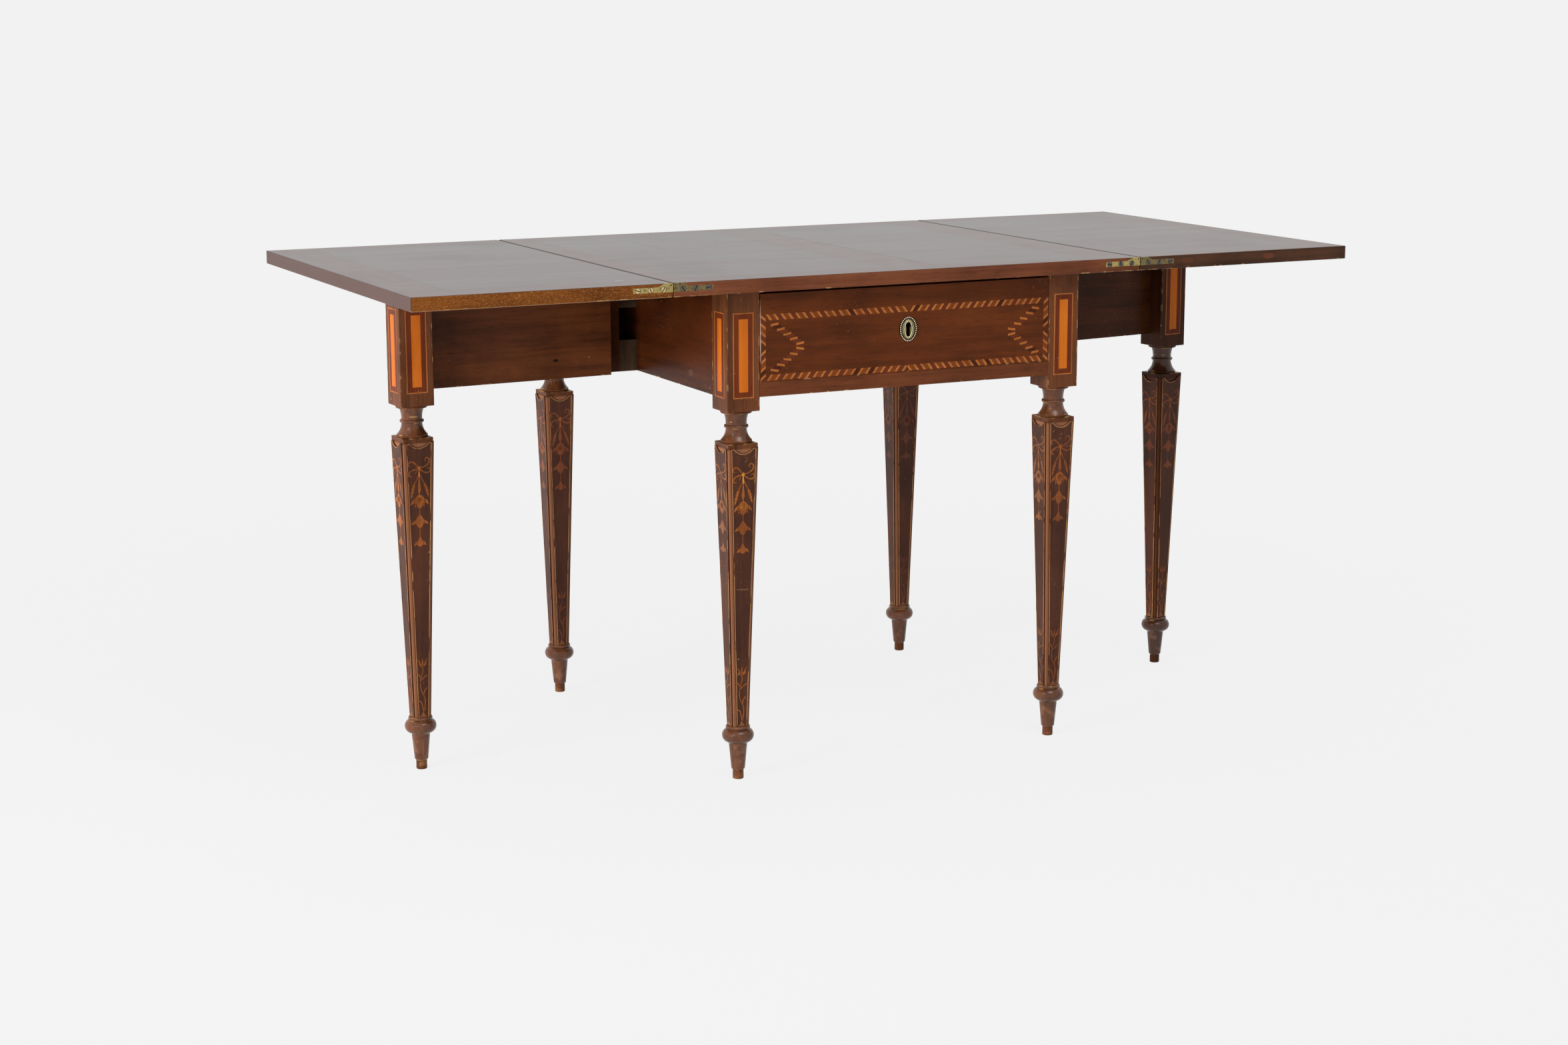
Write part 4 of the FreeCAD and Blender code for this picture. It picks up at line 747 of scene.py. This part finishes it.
# The three boards of the top: a field veneered along the table inside a crossbanded border, and edges of
# their own colour. The centre board is screwed up from the rails, and the leaves hang on their hinges.
top_low, top_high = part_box("centre_top")
LEAF_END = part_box("left_leaf")[0].x
FACE_LEVEL = top_high.z - 0.5 * MM
BORDER, BORDER_LINE, HAIR, SKIN = 46 * MM, 0.7 * MM, 0.3 * MM, 1 * MM
CRACK_REACH, CHIP_REACH, RUBBED_REACH, WORN_LINE = 1.1 * MM, 2.4 * MM, 2.0 * MM, 1.4 * MM
FACE_SOFT, UNDER_LEVELS = 0.2 * MM, (top_low.z + 0.6 * MM, top_low.z + 1.0 * MM)
BORDER_COLOUR, LINE_COLOUR, CRACK_COLOUR = (98, 60, 42), (22, 12, 9), (14, 9, 8)
END_COLOUR, JOINT_SHADE_COLOUR = (80, 58, 52), (24, 15, 12)
FLECK_COLOUR, WORN_COLOUR, STAIN_COLOUR = (160, 108, 48), (160, 124, 88), (100, 56, 38)
NICK_PLACE, NICK_SIZE, NICK_COLOUR = (-461 * MM, -303 * MM), (8 * MM, 1 * MM), (214, 206, 196)
FINE_SCRATCH = 0.2 * MM
EDGE_PATCHES = ((493 * MM, 0.4), (650 * MM, 0.9))
PATCH_LEVEL, PATCH_SIZE = top_high.z - 9.5 * MM, (12 * MM, 5 * MM)
POLISH, JOINT_REACH, WORN_REACH = 0.46, 4.5 * MM, 90 * MM


def metal_finish(name, bright, dull, roughness=0.42, cover=0.5):
    """An aged metal: bright where it is handled, with dull patches of tarnish and fine scratches."""
    finish = new_finish(name)
    tree, place = finish["tree"], finish["place"]
    tarnish = patches(place, scale=160.0, low=0.65 - 0.3 * cover, high=0.75, detail=4.0)
    fine = node(tree, "TexNoise", {"Vector": place, "Scale": 900.0, "Detail": 2.0}).outputs[0]
    bump = node(tree, "Bump", {"Strength": 0.2, "Distance": FINE_SCRATCH, "Height": fine})
    feed(finish["shader"], {"Metallic": 0.85, "Normal": bump.outputs[0],
                            "Roughness": ramp(tarnish, 0.0, 1.0, roughness - 0.08, roughness + 0.2)})
    finish["colour"] = renderer_colour(bright)
    over(finish, tarnish, dull)
    return finish


def none_of(*masks):
    """What no mask covers."""
    return calc("SUBTRACT", 1.0, any_of(*masks))


def board_finish(name, edge_light, edge_dark, borders, cracks=()):
    """A polished board: a field inside crossbanded borders, given as stretches along the table, with a dark
    line where they meet, hairline cracks along stretches across the table, an edge of another colour and a
    plain polished underside, which is uppermost on a folded leaf."""
    board = wood_finish(name, (66, 38, 29), (44, 26, 20), band=10.0, streak=120.0, pores=0.3,
                        relief=0.06, scratches=0.3, nicks=0.15)
    tree, place, along = board["tree"], board["place"], board["along"]
    x, y, z = axes(board)
    aside, out = calc("ABSOLUTE", x), calc("ABSOLUTE", y)
    inner_edge = top_high.y - BORDER
    crossband = ramp(out, inner_edge - HAIR, inner_edge + HAIR)
    lines = near(out, inner_edge, BORDER_LINE)
    for start, stop in borders:
        crossband = any_of(crossband, within(x, start * MM, stop * MM, HAIR))
        lines = any_of(lines, near(x, start * MM, BORDER_LINE), near(x, stop * MM, BORDER_LINE))
    across = rotated(place, GRAIN_TURNS["Y"])
    ripple = ramp(drawn_noise(across, along=12.0, across=90.0, detail=3.0), 0.35, 0.65, 0.5, 1.0)
    over(board, all_of(crossband, ripple, 0.4), BORDER_COLOUR)
    over(board, all_of(lines, 0.8), LINE_COLOUR)
    stained = all_of(patches(place, scale=5.0, low=0.5, high=0.75), 0.16)
    dull = any_of(all_of(lines, 0.6), all_of(crossband, ramp(ripple, 0.5, 1.0, 0.08, 0.22)), stained)
    for level, low, high in cracks:
        crack = all_of(near(x, level * MM, CRACK_REACH), within(y, low * MM, high * MM))
        over(board, crack, CRACK_COLOUR)
        dull = any_of(dull, crack)
    at_end = ramp(aside, -LEAF_END - 2 * SKIN, -LEAF_END - SKIN)
    grain = node(tree, "Mix", {0: at_end, 4: along, 5: across}, data_type="VECTOR").outputs[1]
    edge = cut_timber(grain, edge_light, edge_dark, band=60.0, streak=420.0)["Color"]
    below = fall(z, FACE_LEVEL - FACE_SOFT, FACE_LEVEL + FACE_SOFT)
    over(board, below, blend(at_end, edge, renderer_colour(END_COLOUR)))
    rim = ramp(out, top_high.y - 2 * SKIN, top_high.y - SKIN)
    inner = none_of(rim, at_end)
    under = all_of(fall(z, *UNDER_LEVELS), inner)
    plain = cut_timber(along, (98, 52, 32), (62, 32, 20), band=10.0, streak=120.0)["Color"]
    over(board, under, plain)
    # Painted shade: the upper part of the board ends at the joints, inside the gap, is laid nearly black.
    at_joint = all_of(within(aside, top_high.x - JOINT_REACH, top_high.x + JOINT_REACH, HAIR),
                      within(z, top_high.z - JOINT_REACH, FACE_LEVEL, HAIR))
    over(board, all_of(at_joint, inner), JOINT_SHADE_COLOUR)
    chips = all_of(near(z, top_low.z, CHIP_REACH), patches(place, scale=60.0, low=0.61, high=0.66))
    over(board, all_of(chips, rim), PALE_CHIP)
    by_joint = all_of(near(aside, top_high.x, WORN_REACH), patches(place, scale=90.0, low=0.4, high=0.6))
    over(board, all_of(by_joint, rim, near(z, top_low.z, RUBBED_REACH)), PALE_CHIP)
    face = all_of(none_of(below), none_of(dull))
    polished(board, all_of(any_of(face, under), POLISH), POLISH_ROUGHNESS)
    board.update(below=below, rim=rim)
    return board


dress(["centre_top"], board_finish("centre_board", (122, 70, 45), (88, 47, 29),
                                   ((-402, -357), (-25, 57), (327, 402)), ((57, -280, 269), (-218, 85, 212))))
left_board = board_finish("left_board", (116, 64, 22), (72, 36, 11), ((-803, -730),))
left_x, left_y, left_z = axes(left_board)
inside_end = ramp(left_x, LEAF_END + SKIN, LEAF_END + 2 * SKIN)
front_edge = all_of(left_board["below"], left_board["rim"], inside_end)
flecks = ramp(drawn_noise(left_board["along"], along=420.0, across=1500.0, detail=1.0), 0.55, 0.75)
over(left_board, all_of(front_edge, flecks), FLECK_COLOUR)
over(left_board, all_of(front_edge, near(left_z, top_low.z, WORN_LINE)), WORN_COLOUR)
nick = all_of(spot(left_x, left_y, NICK_PLACE, NICK_SIZE), fall(left_board["below"], 0.0, 1.0))
over(left_board, nick, NICK_COLOUR)
dress(["left_leaf"], left_board)
right_board = board_finish("right_board", (84, 54, 37), (56, 35, 25), ((745, 803),), ((471, -259, -185),))
right_x, _, right_z = axes(right_board)
for middle, strength in EDGE_PATCHES:
    stain = spot(right_x, right_z, (middle, PATCH_LEVEL), PATCH_SIZE)
    over(right_board, all_of(stain, strength), STAIN_COLOUR)
dress(["right_leaf"], right_board)
steel = metal_finish("dull_steel", (110, 104, 98), (48, 43, 40))
dress(["top_screws"], steel)

# The hinges: brass plates let into the board ends, joined by links on two pins, and held by countersunk
# screws. The plate to the left of each joint is the brighter one, and the plates are darker round the screws.
SCREW_LEVEL = top_high.z - 9 * MM
SCREW_PLACES = [place * MM for place in (387.5, 367, 346.5, 418.7, 439.2, 459.7)]
DARK_RING_RADIUS, BRIGHT_RADIUS, SLOT_EDGE = 5.2 * MM, 4.2 * MM, 0.15 * MM
DARKENING_COLOUR, DARK_FOOT_REACH, SLOT_SHADE_COLOUR = (44, 36, 20), 1.0 * MM, (26, 21, 14)
PLATE_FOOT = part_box("left_leaf_hinge_plates")[0].z
SCREW_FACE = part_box("left_leaf_hinge_screws")[1].y


def round_screws(finish, radius):
    """A mask of discs about the six screws of a hinge, the same for both hinges."""
    x, _, z = axes(finish)
    aside = calc("ABSOLUTE", x)
    return any_of(*(spot(aside, z, (screw, SCREW_LEVEL), (radius, radius)) for screw in SCREW_PLACES))


def plate_finish(name, bright, dull):
    """Brass of a hinge plate, streaked lengthwise, darker round the screws and along its lower edge."""
    plate = metal_finish(name, bright, dull)
    streaks = ramp(drawn_noise(plate["place"], along=60.0, across=900.0, detail=2.0), 0.45, 0.7)
    over(plate, all_of(streaks, 0.35), dull)
    over(plate, round_screws(plate, DARK_RING_RADIUS), DARKENING_COLOUR)
    over(plate, all_of(near(axes(plate)["Z"], PLATE_FOOT, DARK_FOOT_REACH), 0.8), DARKENING_COLOUR)
    return plate


def screw_finish(name, bright, dull, rim):
    """Metal of the slotted screws, with a painted highlight round the rim and painted shade in the slot."""
    screw = metal_finish(name, bright, dull, cover=0.4)
    # Painted highlight: a pale rim round each head.
    over(screw, ramp(round_screws(screw, BRIGHT_RADIUS), 0.0, 1.0, 0.8, 0.0), rim)
    # Painted shade: the slot is laid nearly black below the face of the head.
    depth = calc("SUBTRACT", SCREW_FACE, calc("ABSOLUTE", axes(screw)["Y"]))
    over(screw, ramp(depth, SLOT_EDGE, 2 * SLOT_EDGE), SLOT_SHADE_COLOUR)
    return screw


def dress_sides(pieces, finish):
    """Puts a finish on pieces that are on both sides of the table."""
    dress([f"{side}_{piece}" for side in SIDES for piece in pieces], finish)


bright_brass = plate_finish("bright_brass", (172, 153, 96), (98, 84, 48))
brass = plate_finish("aged_brass", (122, 107, 70), (60, 50, 30))
# Painted shade: the links are dark brass, standing for the shade in the gap between the plates.
shaded_link_brass = metal_finish("shaded_link_brass", (88, 74, 44), (40, 33, 22))
screw_brass = screw_finish("screw_brass", (206, 182, 128), (128, 106, 62), (232, 212, 164))
screw_steel = screw_finish("screw_steel", (96, 91, 86), (50, 45, 42), (150, 143, 130))
dark_steel = metal_finish("dark_steel", (58, 51, 44), (30, 26, 22))
dress_sides(("gate_hinge_plates", "gate_arm_hinge_plates"), brass)
dress(["left_leaf_hinge_plates", "right_centre_hinge_plates"], bright_brass)
dress(["left_centre_hinge_plates", "right_leaf_hinge_plates"], brass)
dress_sides(("hinge_links",), shaded_link_brass)
dress(["left_leaf_hinge_screws"], screw_brass)
dress(["right_leaf_hinge_screws", "centre_hinge_screws"], screw_steel)
dress_sides(("centre_hinge_pins", "leaf_hinge_pins", "gate_hinge_pins"), dark_steel)

# The drawer's box: sides and a back of plain wood, dovetailed together and to the front, with a bottom let
# into grooves. It has the same bare wood as the runners.
dress(["drawer_back", "drawer_bottom", "drawer_left_side", "drawer_right_side"], lining)

# The drawer front: mahogany with a rope band of slanted bars along its edges, and a chevron of the same bars
# at each end. Light bars stand in pairs with gold between them, and red or nearly black between the pairs.
# They were set by eye, so each run has its own start, pitch, count, first gold gap and dark gaps.
BAND_HEIGHT, BAR_WIDTH, BAR_SLANT, BAR_GAP = 9 * MM, 4.4 * MM, 6.6 * MM, 0.2 * MM
ROPE_RUNS = ((-1, 1, 5.5, 12.16, 20, 0, (7,)), (1, 1, 8.5, 12.42, 19, 1, (0, 12)),
             (-1, -1, 5.0, 12.78, 19, 1, (4, 6)), (1, -1, 2.5, 12.18, 20, 0, (9, 11)))
END_RUN, END_DARK_GAPS = (8.0, 12.2, 4, 1), {(1, 1): (0,), (-1, -1): (2,)}
BAND_TOP, BAND_MARGIN = 722 * MM, 1.5 * MM
CHEVRON_TIP, CHEVRON_LEVELS = 178 * MM, {1: 676.5 * MM, -1: 666.5 * MM}
CHEVRON_STEP, CHEVRON_BAR = np.array((10.7, 7.7)) * MM, np.array((13.0, -2.2)) * MM
CHEVRON_BARS, CHEVRON_LINE = 5, 3.5 * MM
LIGHT_BAR, GOLD_BAR, RED_BAR, DARK_BAR = 1.0, 0.7, 0.35, 0.0
BAR_SHADES = ((GOLD_BAR, LIGHT_BAR, (114, 57, 22)), (RED_BAR, GOLD_BAR, (95, 44, 23)),
              (DARK_BAR, RED_BAR, (64, 28, 11)))
END_GLINT_REACH, END_GLINT_COLOUR = 1.6 * MM, (188, 164, 156)
HOLE_SHALLOW, HOLE_DEEP, HOLE_SHADE_COLOUR = 0.2 * MM, 0.6 * MM, (8, 5, 4)
front_low, front_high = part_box("drawer_front")
DRAWER_CHIPS = (front_low.z, 1.8 * MM, 60.0)
plate_low, plate_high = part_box("escutcheon")
plate_middle, plate_half = (plate_low + plate_high) / 2, (plate_high - plate_low) / 2
PLATE_PLACE, PLATE_SIZE = (plate_middle.x, plate_middle.z), (plate_half.x, plate_half.z)


def on_front(points):
    """Puts points (across, up, out) on the face of the drawer."""
    u, v, d = points.T
    return np.stack((u, front_low.y - d, v), axis=1)


def bar_run(first, pitch, count, first_gold, dark_gaps, start, along, reach, across):
    """Light bars at first + pitch * k along a run from its start, and between them gold and red by turns, or
    dark ones in some of the gaps. Each bar lies from its middle - reach to its middle + reach."""
    bars = []
    for number in range(2 * count - 1):
        light, gap = number % 2 == 0, number // 2
        fill = DARK_BAR if gap in dark_gaps else GOLD_BAR if gap % 2 == first_gold else RED_BAR
        wide = BAR_WIDTH if light else pitch * MM - BAR_WIDTH
        middle = start + np.array(along) * (first + pitch * number / 2) * MM
        ends = (middle - reach, middle + reach)
        bars.append(strip(ends, (wide - BAR_GAP) / 2, across, tone=LIGHT_BAR if light else fill))
    return bars


def rope_bars():
    """The bars of the border: outwards from the middle along the top and bottom, and away from the level of
    the middle at the ends."""
    bars = []
    outer, inner = front_high.x - BAND_MARGIN / 2, front_high.x - BAND_HEIGHT
    low, high = front_low.z + BAND_MARGIN, BAND_TOP
    for way, up, *spacing in ROPE_RUNS:
        level = high - BAND_HEIGHT / 2 if up > 0 else low + BAND_HEIGHT / 2
        reach = np.array((way * up * BAR_SLANT, BAND_HEIGHT)) / 2
        bars += bar_run(*spacing, (0, level), (way, 0), reach, (1, 0))
    for way in (-1, 1):
        for up in (-1, 1):
            start = np.array((way * (inner + outer), low + high)) / 2
            reach = np.array((outer - inner, way * up * BAR_SLANT)) / 2
            bars += bar_run(*END_RUN, END_DARK_GAPS.get((way, up), ()), start, (0, up), reach, (0, -1))
    return bars


def chevron_bars():
    """The bars of the chevrons, stepping outwards and away from the middle level from each tip."""
    bars = []
    for way in (-1, 1):
        for up, level in CHEVRON_LEVELS.items():
            flip = np.array((way, up))
            for number in range(2 * CHEVRON_BARS - 1):
                light = number % 2 == 0
                tone = LIGHT_BAR if light else DARK_BAR if number > CHEVRON_BARS else RED_BAR
                wide = CHEVRON_LINE if light else CHEVRON_STEP[1] - CHEVRON_LINE
                inner = np.array((way * CHEVRON_TIP, level)) + flip * CHEVRON_STEP * number / 2
                bars.append(strip((inner, inner + flip * CHEVRON_BAR), wide / 2, (0, -way), tone=tone))
    return bars


drawer_wood = wood_finish("drawer_mahogany", (105, 51, 19), (73, 34, 12), band=9.0, streak=150.0)
drawer_x, drawer_y, drawer_z = axes(drawer_wood)
chip_edge(drawer_wood, *DRAWER_CHIPS)
# Painted highlight: a pale glint in broken patches along the left end of the drawer front.
patchy = patches(drawer_wood["place"], scale=25.0, low=0.4, high=0.55)
over(drawer_wood, all_of(near(drawer_x, front_low.x, END_GLINT_REACH), patchy), END_GLINT_COLOUR)
# Painted shade: behind the escutcheon the drawer front is laid nearly black, where the keyhole shows into it.
behind_face = ramp(drawer_y, front_low.y + HOLE_SHALLOW, front_low.y + HOLE_DEEP)
over(drawer_wood, all_of(spot(drawer_x, drawer_z, PLATE_PLACE, PLATE_SIZE), behind_face), HOLE_SHADE_COLOUR)
dress(["drawer_front"], drawer_wood)
bar_wood = wood_finish("rope_banding", (180, 108, 52), (150, 84, 38), band=60.0, streak=400.0)
bar_tone = tone_of(bar_wood)
for deeper, lighter, colour in BAR_SHADES:
    over(bar_wood, fall(bar_tone, deeper, lighter), colour)
bars = [(on_front(points), quads, tone) for points, quads, tone in rope_bars() + chevron_bars()]
inlaid("drawer_banding", bars, bar_wood, "drawer")

# The lock behind the drawer front, a steel case with its bolt, and the brass escutcheon pinned over its
# keyhole. The plate is dark towards its edge, with a beaded rim and two raised ovals.
BEADS, BEAD_RADIUS, BEAD_HEIGHT, BEAD_INSET = 34, 0.98 * MM, 0.686 * MM, 1.1 * MM
BEAD_LINE = [half - BEAD_INSET for half in PLATE_SIZE]
OUTER_RING, INNER_RING = (8.9 * MM, 14.2 * MM), (6.4 * MM, 12.5 * MM)
OUTER_HALF, INNER_HALF, RING_HEIGHT = 0.9 * MM, 0.6 * MM, 0.6 * MM
DARK_EDGE, DARK_COLOUR, POLE = 1.15, (40, 32, 18), 0.06


def oval(halves, steps):
    """Points and outward directions round an oval on the plate, at even spacing, from its half sizes."""
    fine = np.linspace(0, 2 * math.pi, 721)
    sizes = np.array(halves)
    line = compass(fine) * sizes
    run = np.concatenate(([0], np.cumsum(np.linalg.norm(np.diff(line, axis=0), axis=1))))
    angle = np.interp(np.linspace(0, run[-1], steps, endpoint=False), run, fine)
    turn = compass(angle)
    return turn * sizes, unit(turn * sizes[::-1])


def on_plate(across, up, out):
    """Points on the escutcheon's face, from its middle."""
    return np.stack((plate_middle.x + across, plate_low.y - out, plate_middle.z + up), axis=-1)


def balls(centres, radius, height, steps=10):
    """Flattened balls on the plate: point (a, b) of each is its centre + radius * sin b * (cos a, sin a),
    raised by height * cos b, with a small flat lid at each pole."""
    rows = steps // 2
    round_turn = np.linspace(0, 2 * math.pi, steps, endpoint=False)
    a, b = np.meshgrid(round_turn, np.linspace(POLE, math.pi - POLE, rows))
    across = centres[:, 0, None, None] + radius * np.sin(b) * np.cos(a)
    up = centres[:, 1, None, None] + radius * np.sin(b) * np.sin(a)
    raised = np.broadcast_to(height * np.cos(b), across.shape)
    points = on_plate(across, up, raised).reshape(len(centres), -1, 3)
    quads = grid_quads(rows, steps, closed=False)[:, BACKWARDS]
    first = np.arange(1, steps - 2, 2)
    lid = np.stack((0 * first, first, first + 1, first + 2), axis=1)
    quads = np.concatenate((quads, lid, lid[:, ::-1] + (rows - 1) * steps))
    return [(ball, quads, 1.0) for ball in points]


def ring(halves, half, height, steps=96, sides=10):
    """A raised oval: a flattened round section of half width and height carried round the plate."""
    path, outward = oval(halves, steps)
    angle = np.linspace(0, 2 * math.pi, sides, endpoint=False)
    flat = path[:, None] + outward[:, None] * (half * np.cos(angle))[None, :, None]
    raised = np.broadcast_to(height * np.sin(angle), (steps, sides))
    points = on_plate(flat[..., 0], flat[..., 1], raised).reshape(-1, 3)
    return [(points, grid_quads(steps, sides)[:, BACKWARDS], 1.0)]


dress(["lock_case", "lock_bolt"], steel)
plate_brass = metal_finish("plate_brass", (112, 99, 64), (60, 51, 30))
plate_x, _, plate_z = axes(plate_brass)
bright_middle = spot(plate_x, plate_z, PLATE_PLACE, [half / DARK_EDGE for half in PLATE_SIZE])
over(plate_brass, none_of(bright_middle), DARK_COLOUR)
dress(["escutcheon"], plate_brass)
dress(["escutcheon_pins"], steel)
bead_brass = metal_finish("bead_brass", (252, 240, 204), (190, 168, 116), roughness=0.34, cover=0.2)
ring_brass = metal_finish("ring_brass", (160, 148, 108), (92, 82, 54), cover=0.4)
bead_places, _ = oval(BEAD_LINE, BEADS)
pin_low, pin_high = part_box("escutcheon_pins")
pin_radius = (pin_high.x - pin_low.x) / 2
pin_places = np.array(((0, pin_low.z + pin_radius), (0, pin_high.z - pin_radius))) - (0, plate_middle.z)
ORNAMENT = (("beads", balls(bead_places, BEAD_RADIUS, BEAD_HEIGHT), bead_brass, "brass"),
            ("ring", ring(OUTER_RING, OUTER_HALF, RING_HEIGHT), ring_brass, "brass"),
            ("lip", ring(INNER_RING, INNER_HALF, RING_HEIGHT), bead_brass, "brass"),
            ("pin_heads", balls(pin_places, 2 * pin_radius, pin_radius), steel, "steel"))
for part, forms, finish, slot in ORNAMENT:
    inlaid(f"escutcheon_{part}", forms, finish, "drawer", smooth=True)
